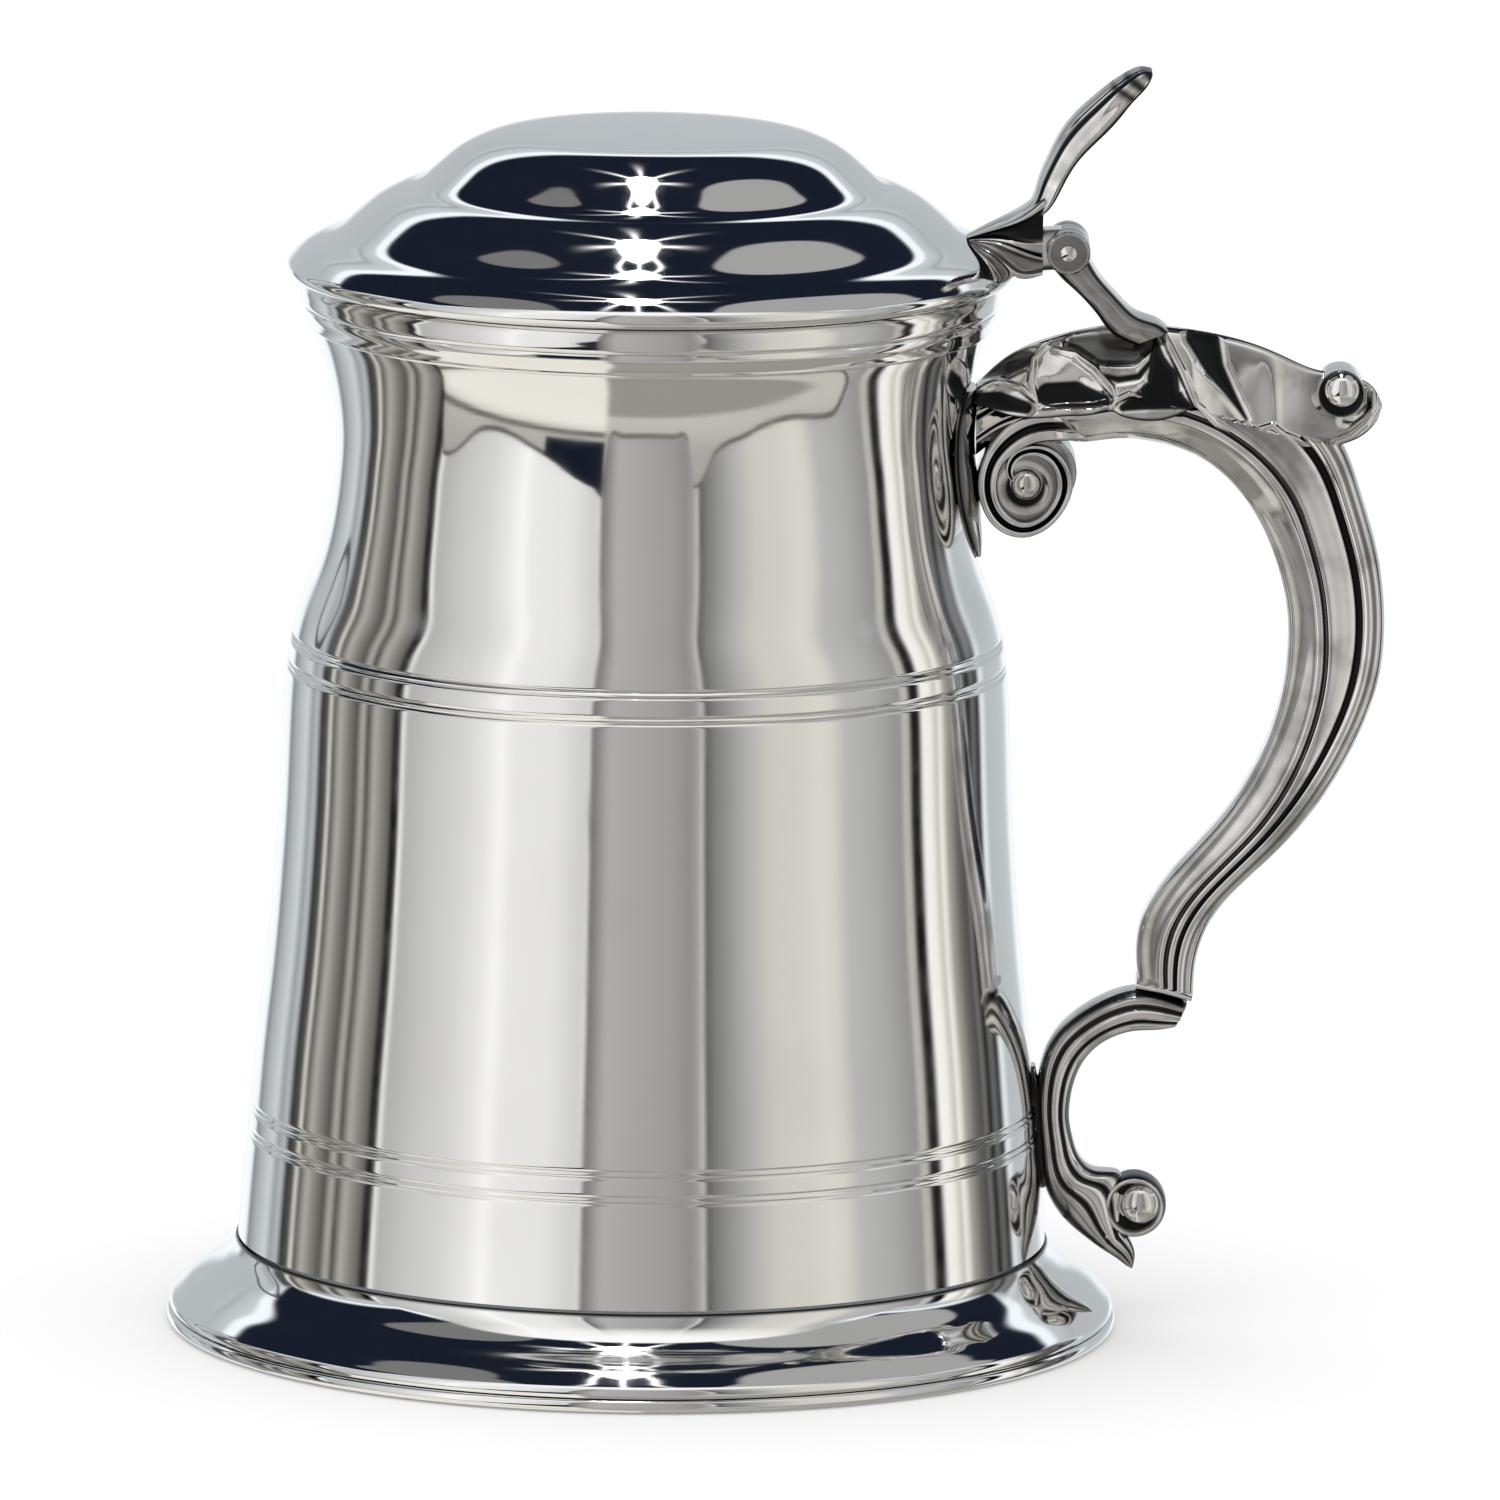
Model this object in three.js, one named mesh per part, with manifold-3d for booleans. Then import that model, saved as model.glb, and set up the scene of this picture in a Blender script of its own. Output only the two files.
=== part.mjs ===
// Lidded pewter tankard: a tulip drum on a flared foot, a double-domed lid on a
// pinned hinge, and a cast double-scroll handle with an acanthus leaf.
// Millimetres, +Z up. The handle points along +X and the lid hinge runs along Y.
// Every profile is drawn about the drum's own axis, and the whole group is then
// moved so that the origin is the centre of the bounding box, on the table.

import * as THREE from 'three';
import { mergeVertices } from 'three/addons/utils/BufferGeometryUtils.js';
import Module from 'manifold-3d';

const wasm = await Module();
wasm.setup();

// ---- driving dimensions -------------------------------------------------

const GAP = 0.3;                 // solder gap between neighbouring pieces
const AXIS_X = -15.6;            // drum axis, seen from the centre of the box
const TURN_STEPS = 40;           // facets round a turned piece

const FOOT_RADIUS = 56.8;
const FOOT_RIM_HEIGHT = 1.5;
const FOOT_TOP = 10.2;           // where the foot meets the drum
const FOOT_WALL = 1.5;

const WALL = 1.8;                // drum wall
const DRUM_BOTTOM = FOOT_TOP + GAP;
const DRUM_TOP = 125.9;
const BASE_THICKNESS = 1.8;

const GROOVE_HEIGHTS = [23.4, 26.4, 79.8, 82.9];
const GROOVE_DEPTH = 0.3;
const GROOVE_HALF_WIDTH = 0.45;

const BAND_BOTTOM = 121.6;       // applied moulding under the lip
const BAND_RADIUS = 41.5;

const LID_RADIUS = 43.4;
const LID_TOP = 144.2;
const LID_WALL = 1.5;
const BEZEL_RADIUS = 38.2;
const BEZEL_DEPTH = 3.6;         // how far the bezel reaches into the drum

const HINGE = { x: 49.6, z: 130.2 };
const KNUCKLE_RADIUS = 2.6;
const LID_KNUCKLE_HALF = 2.3;
const STRAP_HEAD_HALF = 4.8;
const THUMB_HALF = 5.2;
const PIN_RADIUS = 1.0;
const PIN_CLEARANCE = 0.1;

const HANDLE_HALF = 4.9;         // half the width of the S-scroll
const LEAF_HALF = 5.9;
const LEAF_TAPER_FROM = 68;      // the leaf narrows towards its rolled end
const LEAF_TAPER_TO = 78;
const LOWER_HALF = 4.4;
const CURL_HALF = 3.4;
const VOLUTE = { x: 44.7, z: 101.4, radius: 5.9, half: 5.2 };
const LEAF_SCROLL = { x: 82.9, z: 111.6, radius: 4.3, half: 3.7 };
const LEAF_BOSS = { x: 81.9, z: 113.3, radius: 2.3, height: 1.7 };
const LOWER_CURL = { x: 59.2, z: 14.9, radius: 3.6 };
const UPPER_PLATE = 1.2;         // thickness of the plates soldered to the drum
const LOWER_PLATE = 0.9;
const LOWER_BOSS = { x: 59.4, z: 15.0, radius: 2.1, height: 1.2 };

const pewter = (color, roughness) => new THREE.MeshStandardMaterial({ color, roughness, metalness: 1 });
const POLISHED = pewter(0xc9c7c2, 0.12);
const CAST = pewter(0xbfbcb5, 0.18);
const HIDDEN = pewter(0xa9a7a2, 0.35);

// ---- helpers ------------------------------------------------------------

const tankard = new THREE.Group();
tankard.position.x = AXIS_X;

/** Turns any closed geometry into a manifold solid. */
function solid(geometry) {
  const bare = geometry.clone();
  for (const name of Object.keys(bare.attributes)) {
    if (name !== 'position') bare.deleteAttribute(name);
  }
  const merged = mergeVertices(bare, 1e-4);
  const index = [...merged.index.array];
  const faces = [];
  for (let i = 0; i < index.length; i += 3) {
    const [a, b, c] = index.slice(i, i + 3);
    if (a !== b && b !== c && c !== a) faces.push(a, b, c);
  }
  const make = (triangles) => new wasm.Manifold(new wasm.Mesh({
    numProp: 3,
    vertProperties: new Float32Array(merged.attributes.position.array),
    triVerts: new Uint32Array(triangles),
  }));
  const first = make(faces);
  if (first.volume() >= 0) return first;
  return make(faces.map((_, i) => faces[i - (i % 3) + 2 - (i % 3)]));
}

/** Adds a named piece to the tankard. */
function piece(name, body, material) {
  const { vertProperties, triVerts } = body.getMesh();
  const geometry = new THREE.BufferGeometry();
  geometry.setAttribute('position', new THREE.BufferAttribute(vertProperties, 3));
  geometry.setIndex(new THREE.BufferAttribute(triVerts, 1));
  geometry.computeVertexNormals();
  const mesh = new THREE.Mesh(geometry, material);
  mesh.name = name;
  tankard.add(mesh);
}

const toVectors = (points) => points.map(([u, v]) => new THREE.Vector2(u, v));

/** A smooth run through a few points. */
function smooth(points, steps) {
  return new THREE.SplineCurve(toVectors(points)).getPoints(steps).map((p) => [p.x, p.y]);
}

/** A piece turned about the drum's axis from a closed [radius, height] outline. */
function turned(outline, steps = TURN_STEPS) {
  const geometry = new THREE.LatheGeometry(toVectors([...outline, outline[0]]), steps);
  return solid(geometry.rotateX(Math.PI / 2));
}

/** A piece turned about the drum's axis whose outline starts and ends on it. */
function turnedCap(outline, steps = TURN_STEPS) {
  return solid(new THREE.LatheGeometry(toVectors(outline), steps).rotateX(Math.PI / 2));
}

/** A side outline in [x, z] given a width across Y, with chamfered edges. */
function slab(outline, half, chamfer = 0.6, grow = 0) {
  const geometry = new THREE.ExtrudeGeometry(new THREE.Shape(toVectors(outline)), {
    depth: 2 * (half + grow - chamfer),
    bevelEnabled: true,
    bevelThickness: chamfer,
    bevelSize: chamfer,
    bevelOffset: grow - chamfer,
    bevelSegments: 1,
  });
  return solid(geometry.rotateX(Math.PI / 2).translate(0, half + grow - chamfer, 0));
}

/** A round bar along Y. */
function bar({ x, z }, radius, half, steps = 24) {
  const geometry = new THREE.CylinderGeometry(radius, radius, 2 * half, steps);
  return solid(geometry.translate(x, 0, z));
}

/** A small dome standing on a handle's side, towards +Y for side 1 or -Y for side -1. */
function boss(name, { x, z, radius, height }, base, side) {
  const dome = [
    [0, 0], [radius, 0], [radius * 0.92, height * 0.45], [radius * 0.6, height * 0.85], [0, height],
  ];
  const geometry = new THREE.LatheGeometry(toVectors(dome), 20);
  if (side < 0) geometry.rotateX(Math.PI);
  piece(name, solid(geometry.translate(x, side * base, z)), CAST);
}

/** Cuts a piece back so that it stays clear of its neighbours. */
const clearOf = (body, ...neighbours) => neighbours.reduce((left, other) => left.subtract(other), body);

// ---- drum, base and foot ------------------------------------------------

// radius of the drum's outside at a few heights, from the foot to the lip
const DRUM_PROFILE = [
  [10, 48.3], [18, 47.7], [31, 46.6], [44, 45.2], [60, 44.0], [75, 43.3], [82, 42.7], [86, 41.7],
  [90.5, 40.0], [95, 38.6], [100, 37.7], [106, 37.2], [111, 37.7], [115, 38.6], [119, 39.8],
  [121.4, 40.4], [126, 40.5],
];

/** Radius of the drum's outside at a height, by cubic interpolation. */
function drumRadius(z) {
  const last = DRUM_PROFILE.length - 2;
  const i = Math.min(last, Math.max(0, DRUM_PROFILE.findIndex(([height]) => height > z) - 1));
  const at = (k) => DRUM_PROFILE[Math.min(last + 1, Math.max(0, k))];
  const slope = (k) => (at(k + 1)[1] - at(k - 1)[1]) / (at(k + 1)[0] - at(k - 1)[0]);
  const [z0, r0] = at(i);
  const [z1, r1] = at(i + 1);
  const span = z1 - z0;
  const t = (z - z0) / span;
  const rise = t * t * (3 - 2 * t);
  return r0 + (r1 - r0) * rise + span * t * (1 - t) * ((1 - t) * slope(i) - t * slope(i + 1));
}

const drumHeights = [
  DRUM_BOTTOM, 18, 36, 48, 60, 71, 85, 88, 91, 94, 97, 101, 106, 110, 114, 117, 120, 122, DRUM_TOP,
];
const drumOutside = drumHeights.map((z) => [drumRadius(z), z]);
for (const z of GROOVE_HEIGHTS) {
  drumOutside.push([drumRadius(z - GROOVE_HALF_WIDTH), z - GROOVE_HALF_WIDTH]);
  drumOutside.push([drumRadius(z) - GROOVE_DEPTH, z]);
  drumOutside.push([drumRadius(z + GROOVE_HALF_WIDTH), z + GROOVE_HALF_WIDTH]);
}
drumOutside.sort((a, b) => a[1] - b[1]);
const drumInside = [DRUM_TOP, 120, 114, 106, 97, 91, 85, 71, 48, 20, DRUM_BOTTOM]
  .map((z) => [drumRadius(z) - WALL, z]);
piece('body_barrel', turned([...drumOutside, ...drumInside]), POLISHED);

const baseRadius = drumRadius(DRUM_BOTTOM) - WALL - 0.5;
const baseTop = DRUM_BOTTOM + GAP + BASE_THICKNESS;
piece('base_disc', turnedCap([
  [0, baseTop - BASE_THICKNESS], [baseRadius, baseTop - BASE_THICKNESS],
  [baseRadius, baseTop], [0, baseTop],
]), HIDDEN);

// the foot is one ogee sheet: convex over the rim, concave up to the drum
const footOutside = smooth([
  [FOOT_RADIUS - 0.2, FOOT_RIM_HEIGHT + GAP], [56.3, 2.9], [54.6, 4.5], [52.3, 5.8], [50.5, 7.0],
  [49.3, 8.4], [48.8, FOOT_TOP],
], 14);
const footInside = footOutside
  .map(([radius, height]) => [radius - FOOT_WALL * 1.2, height - FOOT_WALL * 0.35])
  .filter(([, height]) => height > FOOT_RIM_HEIGHT + GAP + 0.2)
  .reverse();
piece('foot_skirt', turned([
  ...footOutside, [footInside[0][0], FOOT_TOP], ...footInside,
  [FOOT_RADIUS - 3.0, FOOT_RIM_HEIGHT + GAP],
]), POLISHED);

piece('foot_rim', turned([
  [FOOT_RADIUS - 3.4, 0], [FOOT_RADIUS - 0.6, 0], [FOOT_RADIUS - 0.1, 0.4],
  [FOOT_RADIUS, FOOT_RIM_HEIGHT * 0.6], [FOOT_RADIUS - 0.2, FOOT_RIM_HEIGHT],
  [FOOT_RADIUS - 3.4, FOOT_RIM_HEIGHT],
]), POLISHED);

const bandInside = drumRadius(124) + GAP;
piece('rim_band', turned([
  [bandInside, BAND_BOTTOM + 0.2], [BAND_RADIUS - 0.6, BAND_BOTTOM],
  [BAND_RADIUS - 0.25, BAND_BOTTOM + 0.5], [BAND_RADIUS - 0.2, BAND_BOTTOM + 2.4],
  [BAND_RADIUS, BAND_BOTTOM + 3.0], [BAND_RADIUS - 0.1, DRUM_TOP - 0.3],
  [BAND_RADIUS - 0.4, DRUM_TOP], [bandInside, DRUM_TOP],
]), POLISHED);

// ---- handle -------------------------------------------------------------

/** A curved plate soldered to the drum, cut from a sleeve by a shield outline in [y, z]. */
function backPlate(shield, thickness) {
  const heights = shield.map(([, z]) => z);
  const low = Math.min(...heights) - 1;
  const high = Math.max(...heights) + 1;
  const steps = 12;
  const stations = Array.from({ length: steps + 1 }, (_, i) => low + ((high - low) * i) / steps);
  const inner = stations.map((z) => [drumRadius(z) + GAP, z]);
  const outer = stations.map((z) => [drumRadius(z) + GAP + thickness, z]).reverse();
  const shape = new THREE.Shape(toVectors(shield));
  const cutter = new THREE.ExtrudeGeometry(shape, { depth: 40, bevelEnabled: false });
  cutter.rotateX(Math.PI / 2).rotateZ(Math.PI / 2).translate(30, 0, 0);
  return turned([...inner, ...outer]).intersect(solid(cutter));
}

const upperShield = [
  [-5.8, 111], [-4.4, 113.6], [4.4, 113.6], [5.8, 111], [5.4, 101], [3.2, 96.5], [0.6, 92.8], [-0.6, 92.8],
  [-3.2, 96.5], [-5.4, 101],
];
piece('upper_back_plate', backPlate(upperShield, UPPER_PLATE), CAST);

const lowerShield = [
  [-3.6, 29], [-2.2, 31.6], [2.2, 31.6], [3.6, 29], [3.6, 19], [2, 16.4], [-2, 16.4], [-3.6, 19],
];
piece('lower_back_plate', backPlate(lowerShield, LOWER_PLATE), CAST);

/** The drum's outside as a plain block, to cut the handle back from it. */
function drumBlock(clearance) {
  const heights = Array.from({ length: 36 }, (_, i) => 12 + 3 * i);
  const outside = heights.map((z) => [drumRadius(z) + clearance, z]);
  return turnedCap([[0, 12], ...outside, [0, heights.at(-1)]]);
}

const clearOfUpperPlate = drumBlock(UPPER_PLATE + 2 * GAP);
const clearOfLowerPlate = drumBlock(LOWER_PLATE + 2 * GAP);

const voluteBar = (grow) => bar(VOLUTE, VOLUTE.radius + grow, VOLUTE.half + grow);
const leafScrollBar = (grow) => bar(LEAF_SCROLL, LEAF_SCROLL.radius + grow, LEAF_SCROLL.half + grow);

const gripTop = smooth([
  [39.4, 110.6], [43.6, 114.6], [48.5, 117.4], [54, 119.0], [60, 119.2], [66, 118.2], [72, 116.0],
  [77, 113.4], [81.6, 109.4], [83.7, 105], [86.0, 97.8], [87.6, 90.8], [87.9, 83.5], [86.4, 76],
  [82.0, 66.5], [74.3, 56.6], [69.1, 51.4], [66.4, 47], [65.8, 42.2],
], 44);
const gripUnderside = smooth([
  [59.0, 43.4], [58.8, 46.6], [60.6, 51.7], [66.6, 58.9], [71.8, 66.3], [75.2, 75.2], [76.4, 84],
  [75.3, 92], [72.2, 98.6], [66.5, 104.3], [59.5, 106.9], [54.8, 107.0], [50.8, 105.9],
], 32);
const gripOutline = [...gripTop, ...gripUnderside, [48, 107.6], [39.4, 107.6]];
const grip = (grow) => slab(gripOutline, HANDLE_HALF, 1.2, grow);
piece('handle_grip', clearOf(grip(0), voluteBar(GAP), leafScrollBar(GAP), clearOfUpperPlate), CAST);
piece('handle_volute', clearOf(voluteBar(0), clearOfUpperPlate), CAST);

// the leaf lies over the arch like a saddle, with four lobes along its lower edge
const leafTop = smooth([
  [39.6, 112.8], [43.6, 117.0], [48.5, 119.6], [54, 121.0], [60, 121.3], [66, 120.5], [72, 118.4],
  [77, 115.8], [80.4, 113.0],
], 16);
const leafEdge = [
  [80.6, 106.6], [78.2, 106.4], [74.9, 108.3], [71.5, 107.3], [68.2, 109.0], [65.1, 111.6],
  [61.5, 109.6], [57.6, 110.4], [54.9, 112.0], [50.6, 110.6], [46.2, 112.0], [43.0, 110.8],
  [39.6, 111.2],
];
const leafOutline = [...leafTop, ...leafEdge];
const leafPlan = [
  [38, -LEAF_HALF], [LEAF_TAPER_FROM, -LEAF_HALF], [LEAF_TAPER_TO, -LEAF_SCROLL.half],
  [90, -LEAF_SCROLL.half], [90, LEAF_SCROLL.half], [LEAF_TAPER_TO, LEAF_SCROLL.half],
  [LEAF_TAPER_FROM, LEAF_HALF], [38, LEAF_HALF],
];
const leafShape = new THREE.Shape(toVectors(leafPlan));
const leafBlock = new THREE.ExtrudeGeometry(leafShape, { depth: 130, bevelEnabled: false });
const leaf = slab(leafOutline, LEAF_HALF, 0.4).intersect(solid(leafBlock));
const underLeaf = [grip(GAP), leafScrollBar(GAP), voluteBar(GAP), clearOfUpperPlate];
piece('acanthus_leaf', clearOf(leaf, ...underLeaf), CAST);
piece('leaf_scroll', leafScrollBar(0), CAST);

// the mitre between the S-scroll and the C-scroll, marked by a stepped bead
const bead = [[58.8, 42.7], [58.8, 41.5], [65.0, 40.2], [65.8, 40.5], [65.8, 41.4]];
piece('mitre_bead', slab(bead, LOWER_HALF + 0.2, 0.3), CAST);

const lowerBack = smooth([[58.6, 41.1], [54.8, 40.0], [50.9, 38.0], [48.9, 34.6], [48.5, 31.6]], 8);
const lowerKnee = smooth([[48.6, 19.5], [49.0, 16.2], [50.4, 13.2], [52.8, 10.7], [54.6, 9.4]], 6);
const lowerHollow = smooth([
  [54.8, 19.0], [52.9, 20.4], [51.8, 23.2], [51.2, 26.5], [51.6, 29.8], [53.2, 32.6], [56, 34.7],
  [59.4, 35.7], [63.2, 36.0],
], 14);
const lowerOutline = [
  ...lowerBack, ...lowerKnee, [55.4, 11.6], [57.2, 18.9], ...lowerHollow, [63.9, 38.2], [64.4, 39.9],
];
const curlBar = (grow) => bar(LOWER_CURL, LOWER_CURL.radius + grow, CURL_HALF + grow);
const curlSlot = bar(LOWER_CURL, LOWER_CURL.radius + GAP, LOWER_HALF + 1);
const lowerBody = slab(lowerOutline, LOWER_HALF, 1.0);
piece('handle_lower_scroll', clearOf(lowerBody, curlSlot, clearOfLowerPlate), CAST);
piece('lower_curl', curlBar(0), CAST);

const tipLeaf = [[54.9, 9.2], [58.7, 6.1], [59.3, 9.9], [55.8, 11.2]];
piece('lower_leaf_tip', clearOf(slab(tipLeaf, 2.6, 0.3), curlBar(GAP)), CAST);

for (const [side, hand] of [[-1, 'right'], [1, 'left']]) {
  boss(`volute_boss_${hand}`, { ...VOLUTE, radius: 1.5, height: 1.2 }, VOLUTE.half + GAP, side);
  boss(`leaf_boss_${hand}`, LEAF_BOSS, LEAF_SCROLL.half + GAP, side);
  boss(`lower_boss_${hand}`, LOWER_BOSS, CURL_HALF + GAP, side);
}

// ---- hinge --------------------------------------------------------------

const pinBore = bar(HINGE, PIN_RADIUS + PIN_CLEARANCE, 12);
const strapArm = [
  [48.0, 128.6], [49.3, 126.6], [51.6, 124.3], [53.5, 122.2], [54.6, 121.0], [61.2, 121.0],
  [59.8, 122.1], [57.8, 123.0], [54.6, 125.8], [52.6, 128.6], [51.0, 131.4],
];
const strapHead = bar(HINGE, KNUCKLE_RADIUS, STRAP_HEAD_HALF).add(slab(strapArm, 4.2, 0.5));
const lidKnuckleSlot = bar(HINGE, KNUCKLE_RADIUS + GAP, LID_KNUCKLE_HALF + GAP);
const leafTopGrown = slab(leafOutline, LEAF_HALF, 0.4, GAP);
piece('hinge_strap', clearOf(strapHead, lidKnuckleSlot, pinBore, leafTopGrown), CAST);

const headRadius = PIN_RADIUS + 0.5;
const pinEnd = STRAP_HEAD_HALF + GAP;
const pinOutline = [
  [0, -pinEnd - 0.8], [headRadius * 0.7, -pinEnd - 0.6], [headRadius, -pinEnd], [PIN_RADIUS, -pinEnd],
  [PIN_RADIUS, pinEnd], [headRadius, pinEnd], [headRadius * 0.7, pinEnd + 0.6], [0, pinEnd + 0.8],
];
const pin = new THREE.LatheGeometry(toVectors(pinOutline), 24).translate(HINGE.x, 0, HINGE.z);
piece('hinge_pin', solid(pin), CAST);

// ---- lid ----------------------------------------------------------------

// outside of the lid from the flange up: a rounded flange, then two domes and a low crown
const lidBottom = DRUM_TOP + GAP;
const lidOutside = [
  ...smooth([
    [LID_RADIUS - 1.0, lidBottom], [LID_RADIUS, lidBottom + 1.1], [LID_RADIUS - 1.0, 128.5],
    [40.8, 129.9], [38.8, 130.8], [37.3, 131.6],
  ], 8),
  ...smooth([[36.4, 132.5], [34.4, 134.3], [31.6, 136.2], [28.8, 137.6]], 5),
  ...smooth([[27.2, 138.6], [25.2, 140.1], [23.0, 141.4], [20.5, 142.6], [17.8, 143.4]], 6),
  [14, 143.9], [7, 144.1], [0, LID_TOP],
];
const lidInside = lidOutside.filter(([radius]) => radius < 38.2)
  .map(([radius, height]) => [Math.max(0, radius - LID_WALL * 0.7), height - LID_WALL])
  .filter(([, height]) => height > 129);
lidInside[lidInside.length - 1][0] = 0;
const flangeInside = BEZEL_RADIUS + GAP;
piece('lid_shell', turnedCap([
  ...[...lidInside].reverse(), [flangeInside, lidInside[0][1] - 0.6], [flangeInside, lidBottom], ...lidOutside,
]), POLISHED);

piece('lid_bezel', turned([
  [BEZEL_RADIUS - 1.1, DRUM_TOP - BEZEL_DEPTH], [BEZEL_RADIUS - 0.2, DRUM_TOP - BEZEL_DEPTH],
  [BEZEL_RADIUS, DRUM_TOP - BEZEL_DEPTH + 0.6], [BEZEL_RADIUS, 128.6], [BEZEL_RADIUS - 1.1, 128.6],
]), HIDDEN);

// the thumbpiece is one bent plate: a base lying on the lid and a lever leaning back
const thumbFront = smooth([
  [45.5, 136.4], [46.0, 138.7], [47.0, 141.0], [48.2, 143.6], [49.6, 145.6], [51.5, 147.6],
  [53.9, 149.8], [56.0, 151.5], [57.9, 152.3], [59.3, 151.7],
], 16);
const thumbBack = smooth([
  [59.0, 150.5], [58.2, 149.5], [56.6, 147.8], [55.2, 146.0], [53.5, 144.2], [52.0, 142.8],
  [50.5, 141.0], [49.4, 139.0], [48.6, 137.2], [48.0, 135.6],
], 12);
const thumbOutline = [
  [37.6, 132.3], [38.4, 132.6], [41.0, 133.3], [43.0, 134.2], [44.6, 135.3],
  ...thumbFront, ...thumbBack,
  [47.2, 134.2], [45.8, 133.2], [43.4, 132.2], [40.0, 131.9],
];
const lidGrownOutside = lidOutside.map(([r, z]) => [r ? r + GAP * 0.7 : 0, z + GAP]);
const lidGrown = turnedCap([[0, 120], [LID_RADIUS + 1, 120], ...lidGrownOutside]);
const knuckleGrown = bar(HINGE, KNUCKLE_RADIUS + 0.5, STRAP_HEAD_HALF + 3);
const thumb = (grow) => slab(thumbOutline, THUMB_HALF, 0.15, grow);
piece('thumbpiece', clearOf(thumb(0), lidGrown, knuckleGrown), CAST);

// the tongue is soldered over the flange and carries the lid's knuckle
const tonguePlate = [
  [40.4, 129.4], [42.6, 127.6], [43.6, 126.6], [46.6, 127.4], [46.6, 131.9], [43.4, 131.8],
  [40.4, 131.5],
];
const tongueNeck = [[43.4, 127.2], [48.6, 127.8], [49.0, 132.4], [46.6, 132.2], [43.4, 131.8]];
const tongue = slab(tonguePlate, 4.8, 0.3)
  .subtract(bar(HINGE, KNUCKLE_RADIUS + GAP, STRAP_HEAD_HALF + 1))
  .add(slab(tongueNeck, LID_KNUCKLE_HALF, 0.2))
  .add(bar(HINGE, KNUCKLE_RADIUS, LID_KNUCKLE_HALF));
piece('lid_tongue', clearOf(tongue, pinBore, lidGrown, thumb(GAP)), CAST);

export default tankard;
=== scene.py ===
"""Lidded pewter tankard: the looks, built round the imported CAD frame.

All shapes are drawn in millimetres about the drum's axis, with the table at height 0, and turned into
metres in the row frame when a mesh is made. The handle points along +X and the camera looks along +Y.
"""

import math

import bmesh
import bpy
import numpy as np
from mathutils import Matrix, Vector


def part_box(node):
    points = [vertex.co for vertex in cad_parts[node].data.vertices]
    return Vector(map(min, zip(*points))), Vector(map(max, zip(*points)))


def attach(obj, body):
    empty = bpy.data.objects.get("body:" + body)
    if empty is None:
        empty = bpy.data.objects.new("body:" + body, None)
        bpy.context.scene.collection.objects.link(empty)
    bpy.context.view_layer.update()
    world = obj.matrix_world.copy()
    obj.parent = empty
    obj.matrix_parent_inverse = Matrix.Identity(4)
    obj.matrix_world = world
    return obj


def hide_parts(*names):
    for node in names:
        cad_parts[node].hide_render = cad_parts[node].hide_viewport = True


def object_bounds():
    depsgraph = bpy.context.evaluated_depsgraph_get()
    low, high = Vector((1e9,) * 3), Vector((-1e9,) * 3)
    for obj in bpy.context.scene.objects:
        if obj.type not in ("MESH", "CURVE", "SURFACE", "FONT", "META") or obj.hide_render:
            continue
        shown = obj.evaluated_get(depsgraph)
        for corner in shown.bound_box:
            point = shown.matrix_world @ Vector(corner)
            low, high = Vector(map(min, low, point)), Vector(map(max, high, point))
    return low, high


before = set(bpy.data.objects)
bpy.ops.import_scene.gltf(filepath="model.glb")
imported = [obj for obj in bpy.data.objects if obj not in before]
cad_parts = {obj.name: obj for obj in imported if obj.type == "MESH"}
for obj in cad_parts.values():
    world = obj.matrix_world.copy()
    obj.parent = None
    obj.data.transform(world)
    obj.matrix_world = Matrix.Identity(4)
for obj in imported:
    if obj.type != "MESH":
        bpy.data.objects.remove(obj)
cad_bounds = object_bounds()


# ---- driving dimensions, from the frame ----

MM = 0.001
drum_low, drum_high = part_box("body_barrel")
lid_low, lid_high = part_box("lid_shell")
pin_low, pin_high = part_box("hinge_pin")

AXIS_X = (drum_low.x + drum_high.x) / 2 / MM
TABLE_Z = cad_bounds[0][2] / MM
FOOT_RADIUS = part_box("foot_rim")[1].y / MM
FOOT_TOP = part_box("foot_skirt")[1].z / MM
DRUM_BOTTOM = drum_low.z / MM
DRUM_TOP = drum_high.z / MM
LID_BOTTOM = lid_low.z / MM
LID_TOP = lid_high.z / MM
LID_RADIUS = lid_high.y / MM
HINGE = ((pin_low.x + pin_high.x) / 2 / MM - AXIS_X, (pin_low.z + pin_high.z) / 2 / MM)

WALL = 1.8
ROUND = 288                      # facets round a turned piece
CAMERA_PITCH = math.radians(9.87)


# ---- curves ----

def spline(points, steps):
    """A natural cubic spline through points of any dimension, evenly stepped by chord length."""
    points = np.asarray(points, float)
    count = len(points)
    knots = np.concatenate([[0], np.cumsum(np.linalg.norm(np.diff(points, axis=0), axis=1))])
    spans = np.diff(knots)
    system = np.eye(count)
    for i in range(1, count - 1):
        system[i, i - 1:i + 2] = spans[i - 1], 2 * (spans[i - 1] + spans[i]), spans[i]
    right = np.zeros_like(points)
    right[1:-1] = 6 * np.diff(np.diff(points, axis=0) / spans[:, None], axis=0)
    bend = np.linalg.solve(system, right)
    at = np.linspace(0, knots[-1], steps)
    k = np.clip(np.searchsorted(knots, at, "right") - 1, 0, count - 2)
    h = spans[k][:, None]
    a = (knots[k + 1] - at)[:, None] / h
    b = 1 - a
    curve = ((a ** 3 - a) * bend[k] + (b ** 3 - b) * bend[k + 1]) * h ** 2 / 6
    return a * points[k] + b * points[k + 1] + curve


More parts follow.
